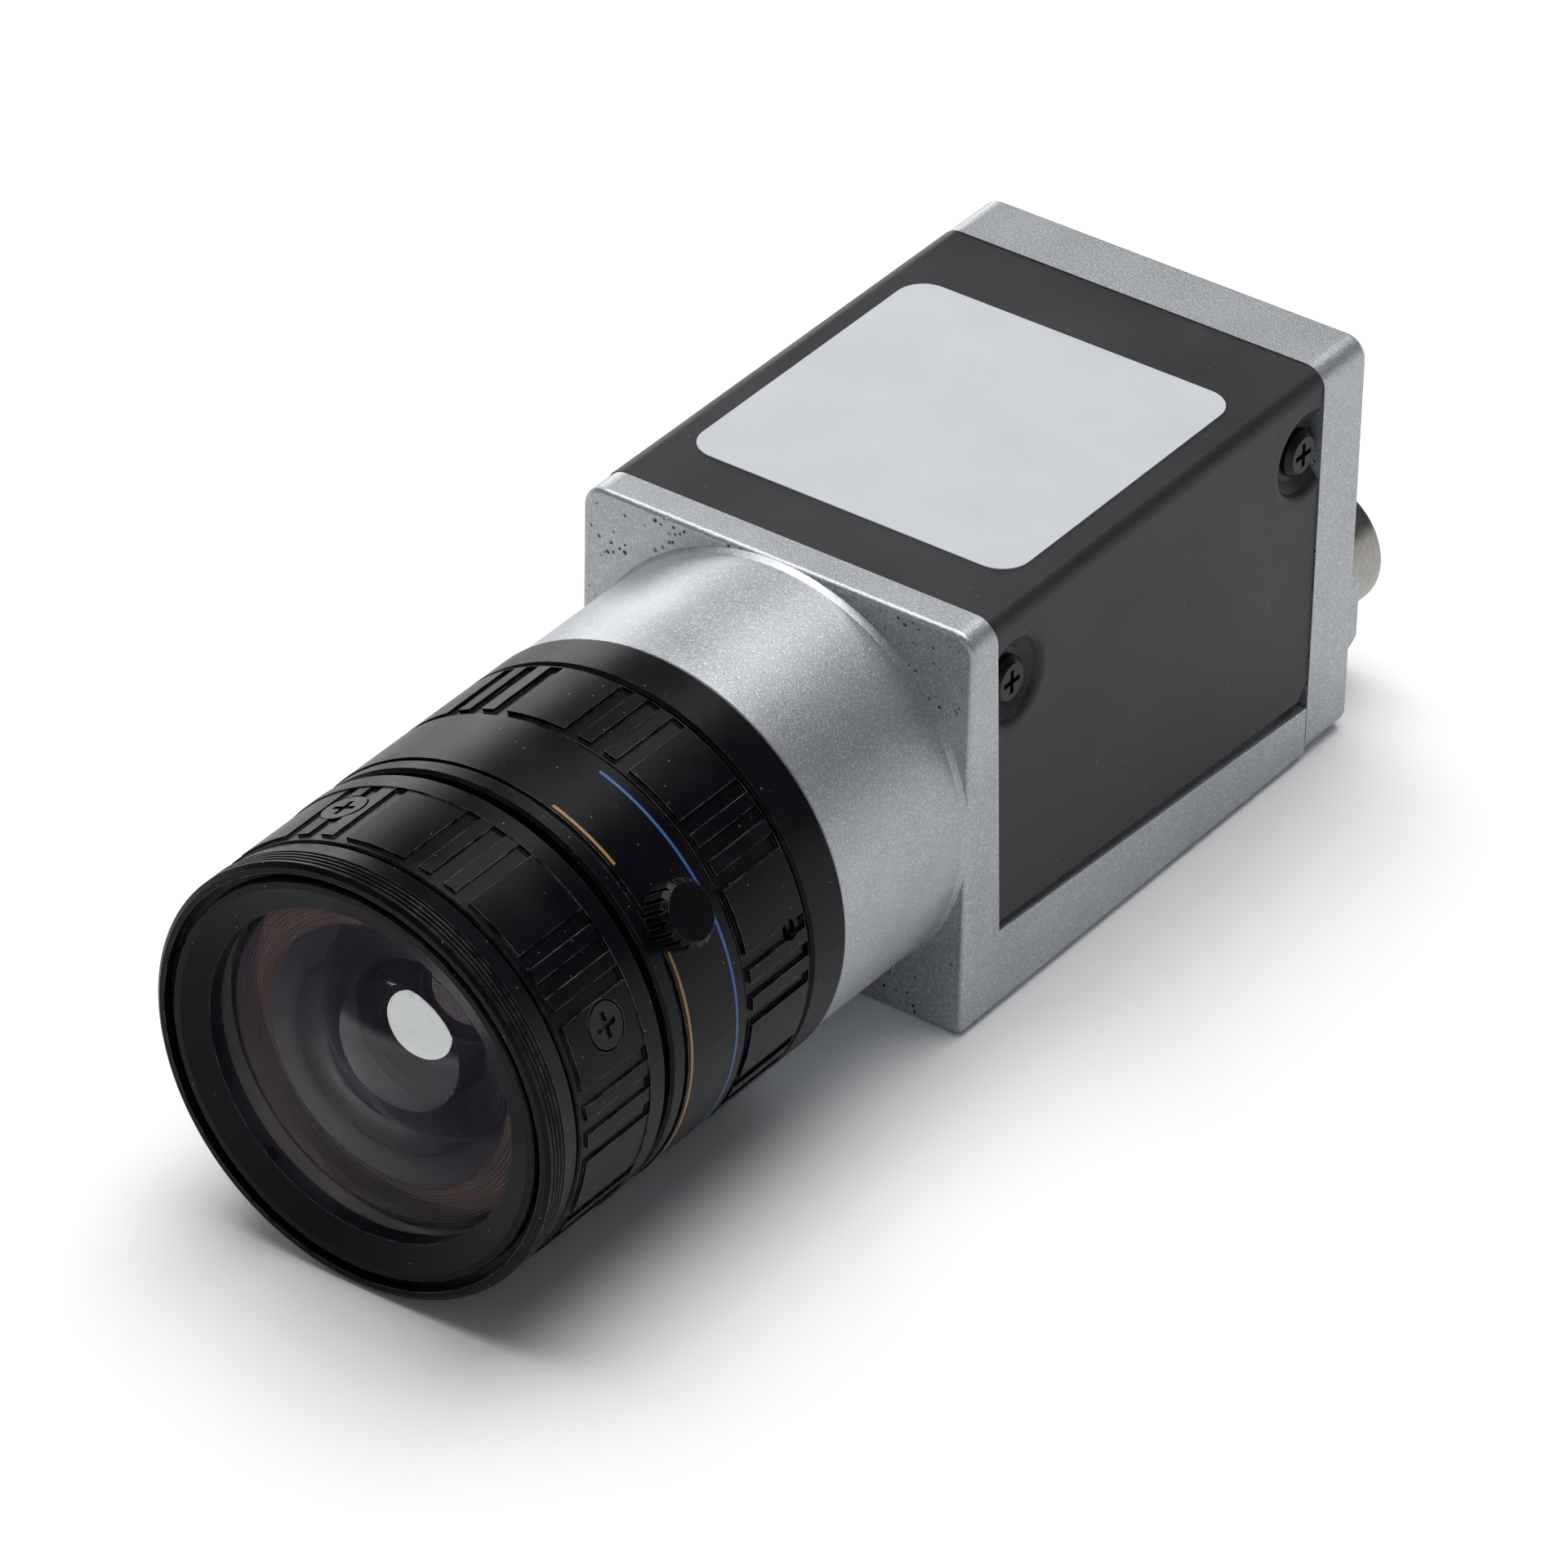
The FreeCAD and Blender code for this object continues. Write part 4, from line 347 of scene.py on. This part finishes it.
def black_screw():
    """Blacked steel, glossy on the crown, and lighter on its edges from rubbing and a painted
    edge highlight.
    """
    g = Graph(bpy.data.materials.new("screw_black"))
    speck = g.noise(0.25, 4.0, 0.6)
    colour = g.blend(g.patches(speck), (0.004, 0.004, 0.005), (0.010, 0.0098, 0.010))
    # Grey edges: partly rubbed blacking, partly a painted edge highlight.
    rubbed_and_edge_sheen = g.times(g.edges(0.05), g.stretch(speck, 0.4, 0.6))
    colour = g.blend(rubbed_and_edge_sheen, colour, (0.16, 0.155, 0.15))
    return g.finish(colour, g.spread(speck, 0.28, 0.42), g.bump(speck, 0.010),
                    Specular_IOR_Level=0.25)


def moulded(name, dark, light):
    """Moulded plastic, ceramic or board with a fine even grain."""
    g = Graph(bpy.data.materials.new(name))
    grain = g.noise(0.3, 4.0, 0.6)
    return g.finish(g.blend(g.spread(grain), dark, light), g.spread(grain, 0.44, 0.56),
                    g.bump(grain, 0.006))


def light_pipe():
    """Milky green plastic that lets some light through."""
    g = Graph(bpy.data.materials.new("light_pipe"))
    cloud = g.noise(0.8, 3.0)
    colour = g.blend(g.spread(cloud), (0.55, 0.66, 0.58), (0.66, 0.76, 0.68))
    return g.finish(colour, g.spread(cloud, 0.12, 0.2), g.bump(cloud, 0.003),
                    Transmission_Weight=0.35, IOR=1.49)


LENS_MATT = lens_matt()
BAFFLE = baffle_black()
CLEAR = (0.97, 0.95, 0.96)
FRONT_GLASS = coated_glass("front_glass", CLEAR, (0.72, 0.55, 0.48), film=124.0)
HOLLOW_FACE = coated_glass("rear_face_glass", CLEAR, (0.90, 0.88, 0.86))
INNER_GLASS = coated_glass("inner_glass", (0.64, 0.56, 0.57), (0.34, 0.29, 0.29), index=1.3)

FINISHES = {
    "cast_silver": cast_silver(),
    "cover_black": cover_black(),
    "label_film": label_film(),
    "lens_black": lens_black(),
    "screw_black": black_screw(),
    "optical_glass": INNER_GLASS,
    "nickel": worn_metal("nickel", (0.34, 0.32, 0.29), (0.44, 0.42, 0.38), 0.26),
    "circuit_board": moulded("circuit_board", (0.010, 0.070, 0.035), (0.016, 0.10, 0.05)),
    "chip_black": moulded("chip_black", (0.012, 0.012, 0.013), (0.02, 0.02, 0.021)),
    "insulator_black": moulded("insulator_black", (0.012, 0.012, 0.013),
                               (0.022, 0.022, 0.023)),
    "sensor_ceramic": moulded("sensor_ceramic", (0.07, 0.05, 0.06), (0.10, 0.075, 0.085)),
    "silicon": worn_metal("silicon", (0.05, 0.06, 0.12), (0.08, 0.07, 0.14), 0.12, 2.0),
    "gold_contact": worn_metal("gold_contact", (0.72, 0.47, 0.16), (0.85, 0.60, 0.26), 0.2),
    "light_pipe": light_pipe(),
    "blade_black": worn_metal("blade_black", (0.02, 0.02, 0.021), (0.035, 0.035, 0.036),
                              0.34),
    "brass_plain": worn_metal("brass_plain", (0.62, 0.44, 0.18), (0.74, 0.55, 0.26), 0.28),
}
MATT_INSIDE = {"filter_ring", "rear_cell", "rear_ring", "iris_cage", "iris_drive_ring",
               "focus_sleeve", "second_ring"}


def paint_frame():
    """Give every CAD node the finish of its slot, and matt black inside the lens."""
    slots = {entry["node"]: entry["material_slot"] for entry in frame["record"]["subparts"]}
    for name, piece in frame["nodes"].items():
        material = LENS_MATT if name in MATT_INSIDE else FINISHES[slots[name]]
        for slot in piece.material_slots:
            slot.material = material


# ---------------------------------------------------------------- mesh helpers

def lens_point(radius, angle, station):
    """Point at a radius and an angle in degrees about the lens axis."""
    turn = math.radians(angle)
    return Vector((AXIS_X + radius * MM * math.cos(turn), HOUSING_FACE - station * MM,
                   AXIS_Z + radius * MM * math.sin(turn)))


def new_piece(name, verts, faces, material, body):
    mesh = bpy.data.meshes.new(name)
    mesh.from_pydata([tuple(v) for v in verts], [], faces)
    shell = bmesh.new()
    shell.from_mesh(mesh)
    bmesh.ops.remove_doubles(shell, verts=shell.verts, dist=MERGE_DISTANCE)
    bmesh.ops.recalc_face_normals(shell, faces=shell.faces)
    shell.to_mesh(mesh)
    shell.free()
    for face in mesh.polygons:
        face.use_smooth = True
    mesh.set_sharp_from_angle(angle=SHARP_ANGLE)
    mesh.materials.append(material)
    piece = bpy.data.objects.new(name, mesh)
    bpy.context.scene.collection.objects.link(piece)
    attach(piece, body)
    return piece


def swept(section, angles, closed):
    """Points and faces of a (radius, station) section swept through angles."""
    verts = [lens_point(radius, angle, station) for angle in angles
             for radius, station in section]
    tall = len(section)
    count = len(angles)
    faces = []
    for index in range(count if closed else count - 1):
        here = index * tall
        there = (index + 1) % count * tall
        for row in range(tall):
            above = (row + 1) % tall
            faces.append((here + row, there + row, there + above, here + above))
    if not closed:
        faces.append(tuple(range(tall)))
        faces.append(tuple(range((count - 1) * tall, count * tall)))
    return verts, faces


def turned(name, section, material):
    """Ring of the focusing cell, turned about the lens axis."""
    angles = [360 * index / TURNED_SEGMENTS for index in range(TURNED_SEGMENTS)]
    verts, faces = swept(section, angles, True)
    return new_piece(name, verts, faces, material, "focusing_cell")


# ---------------------------------------------------------------- added pieces

def printed_lines():
    """Blue and orange index lines on the fixed band; the orange one leaves out the lock screw."""
    half_width, height, sunk = 0.11, 0.008, 0.02
    longest_step, fewest_steps = 1.5, 8
    radius = LENS_RADIUS / MM
    blue = print_ink("blue_ink", (0.035, 0.115, 0.36))
    orange = print_ink("orange_ink", (0.42, 0.20, 0.035))
    for name, ink, station, start, finish in (
            ("blue_line_1", blue, 23.72, -58.0, 72.5),
            ("orange_line_1", orange, 28.2, -58.0, 29.0),
            ("orange_line_2", orange, 28.2, 52.8, 72.8)):
        low, high = station - half_width, station + half_width
        section = [(radius - sunk, low), (radius + height, low),
                   (radius + height, high), (radius - sunk, high)]
        steps = max(fewest_steps, int((finish - start) / longest_step))
        angles = [start + (finish - start) * index / steps for index in range(steps + 1)]
        verts, faces = swept(section, angles, False)
        new_piece(name, verts, faces, ink, "camera")


def dome(curve, apex, outer):
    """(radius, station) points on a ball's front face, from its apex out to a radius."""
    steps = 48
    points = []
    for index in range(steps + 1):
        radius = outer * math.sin(math.pi / 2 * index / steps)
        points.append((radius, apex - curve + math.sqrt(curve ** 2 - radius ** 2)))
    return points


def coat_faces(piece, edge_radius, hollow_radius):
    """Black paint on a lens's ground edge and a plainer coating in its hollow."""
    upright, backward = 0.1, 0.02
    edge_from = edge_radius - 0.05
    piece.data.materials.append(LENS_MATT)
    piece.data.materials.append(HOLLOW_FACE)
    for face in piece.data.polygons:
        middle = face.center
        radius = math.hypot(middle.x - AXIS_X, middle.z - AXIS_Z) / MM
        if abs(face.normal.y) < upright and radius > edge_from:
            face.material_index = 1
        elif face.normal.y > backward and radius < hollow_radius:
            face.material_index = 2


def glasses():
    """The two front lenses, turned finely enough for clean reflections."""
    front_radius, front_apex, front_curve, seat = 11.4, 40.65, 90.0, 36.25
    hollow_curve, hollow_apex = 11.5, 39.87
    hollow_mouth = math.sqrt(hollow_curve ** 2 - (hollow_curve - hollow_apex + seat) ** 2)
    outline = dome(front_curve, front_apex, front_radius) + [(front_radius, seat)]
    outline += dome(hollow_curve, hollow_apex, hollow_mouth)[::-1]
    front = turned("front_glass", outline, FRONT_GLASS)
    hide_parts("front_element")
    coat_faces(front, front_radius, hollow_mouth)

    second_radius, second_apex, second_curve, second_back = 8.0, 32.2, 20.0, 29.4
    outline = dome(second_curve, second_apex, second_radius)
    outline += [(second_radius, second_back), (0.0, second_back)]
    second = turned("second_glass", outline, INNER_GLASS)
    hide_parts("second_element")
    coat_faces(second, second_radius, 0.0)
    return front, second


def baffle():
    """Ring and cone behind the front glass, cut with fine ridges."""
    front, back = 36.18, 32.4
    pitch, depth = 0.24, 0.10
    ridge = ((0.0, 0.0), (0.45, 0.0), (0.62, depth), (0.80, depth))
    outline = [(9.2, back), (9.2, 35.98), (11.35, 36.02), (11.35, front)]
    ridged = [(11.3, front), (8.75, front), (6.5, back)]
    for (near, high), (far, low) in zip(ridged, ridged[1:]):
        length = math.hypot(far - near, low - high)
        along = ((far - near) / length, (low - high) / length)
        inward = (-along[1], along[0])
        count = round(length / pitch)
        for index in range(count):
            for share, dip in ridge:
                run = (index + share) * length / count
                outline.append((near + along[0] * run + inward[0] * dip,
                                high + along[1] * run + inward[1] * dip))
    outline.append(ridged[-1])
    piece = turned("ridged_baffle", outline, BAFFLE)
    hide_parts("baffle_cone")


# ---------------------------------------------------------------- floor, light and camera

def studio():
    """White behind the object; a pale horizon under a dark ceiling for gloss and glass."""
    world = bpy.data.worlds.new("studio_world")
    bpy.context.scene.world = world
    g = Graph(world, "ShaderNodeOutputWorld", "Generated")
    split = g.add("ShaderNodeSeparateXYZ")
    g.feed(split.inputs[0], g.place)
    path = g.add("ShaderNodeLightPath")

    def glow(colour, strength):
        background = g.add("ShaderNodeBackground")
        g.feed(background.inputs["Color"], colour)
        g.feed(background.inputs["Strength"], strength)
        return background.outputs[0]

    def room(horizon, ceiling, height):
        rise = g.stretch(split.outputs["Z"], 0.0, height, horizon, ceiling, "SMOOTHSTEP")
        return glow((0.93, 0.975, 1.03), rise)

    light = g.mix(g.shiny_rays(path), room(horizon=0.22, ceiling=0.12, height=0.5),
                  room(horizon=1.0, ceiling=0.06, height=0.22))
    g.feed(g.surface, g.mix(path.outputs["Is Camera Ray"], light, glow(WHITE, 1.0)))


def floor():
    """White floor that keeps the shadow near the object and turns plain white far off.

    Its colour for the camera is above 1, so that it comes out white under the lamps.
    """
    half, gap = 3.0, 0.00002
    camera_white = (1.12, 1.125, 1.135)
    shadow_end, white_from = 0.16, 0.55
    g = Graph(bpy.data.materials.new("floor_white"))
    path = g.add("ShaderNodeLightPath")
    seen = path.outputs["Is Camera Ray"]
    plain = g.blend(g.spread(g.noise(60.0, 2.0)), (0.84, 0.845, 0.85), (0.86, 0.865, 0.87))
    colour = g.blend(seen, plain, camera_white)
    lit = g.principled(colour, 0.9, Specular_IOR_Level=0.0)
    reach = g.add("ShaderNodeVectorMath", operation="LENGTH")
    g.feed(reach.inputs[0], g.place)
    far = g.stretch(reach.outputs["Value"], shadow_end, white_from)
    white = g.add("ShaderNodeEmission")
    g.feed(white.inputs["Color"], WHITE)
    share = g.times(far, g.math("MAXIMUM", seen, g.shiny_rays(path)))
    g.feed(g.surface, g.mix(share, lit, white.outputs[0]))

    mesh = bpy.data.meshes.new("studio_floor")
    level = cad_box[0].z - gap
    corners = [(-half, -half, level), (half, -half, level), (half, half, level),
               (-half, half, level)]
    mesh.from_pydata(corners, [], [(0, 1, 2, 3)])
    mesh.materials.append(g.owner)
    piece = bpy.data.objects.new("studio_floor", mesh)
    bpy.context.scene.collection.objects.link(piece)


def softbox(name, place, size, power, shape="RECTANGLE", tint=(1.0, 1.0, 1.0)):
    """Area lamp aimed at the middle of the camera."""
    light = bpy.data.lights.new(name, "AREA")
    light.shape = shape
    light.size, light.size_y = size
    light.energy = power
    light.color = tint
    lamp = bpy.data.objects.new(name, light)
    lamp.location = place
    aim = (cad_box[0] + cad_box[1]) / 2 - Vector(place)
    lamp.rotation_euler = aim.to_track_quat("-Z", "Y").to_euler()
    lamp.visible_camera = False
    bpy.context.scene.collection.objects.link(lamp)
    return lamp


def lights(front_lenses):
    """Large key above, side lamps, and a disc that lights only the glint in the front lenses."""
    softbox("key_box", place=(-0.10, 0.10, 0.72), size=(0.80, 0.60), power=5.9)
    softbox("left_box", place=(-0.80, 0.62, 0.30), size=(0.50, 0.40), power=1.8)
    fill = softbox("right_fill", place=(0.75, -0.60, 0.12), size=(0.35, 0.25), power=0.55)
    fill.visible_glossy = False
    fill.visible_transmission = False
    glint = softbox("glint_disc", place=(0.245, -0.515, 0.385), size=(0.92, 0.92),
                    power=52.0, shape="DISK", tint=(0.92, 1.0, 0.98))
    shown_in = bpy.data.collections.new("front_glasses")
    for piece in front_lenses:
        shown_in.objects.link(piece)
    glint.light_linking.receiver_collection = shown_in


def camera():
    """The camera that took the photo, as solved from the object's own lengths."""
    place = (0.29304, -0.43613, 0.35961)
    turns = (55.810, -1.023, 35.637)
    eye = bpy.data.cameras.new("photo_camera")
    eye.lens = 232.76
    eye.sensor_width = 36.0
    eye.clip_start = 0.05
    eye.clip_end = 20.0
    seat = bpy.data.objects.new("photo_camera", eye)
    seat.location = place
    seat.rotation_euler = Euler([math.radians(turn) for turn in turns])
    bpy.context.scene.collection.objects.link(seat)
    bpy.context.scene.camera = seat


paint_frame()
printed_lines()
front_lenses = glasses()
baffle()
studio()
floor()
lights(front_lenses)
camera()

view = bpy.context.scene.view_settings
view.view_transform = "Standard"
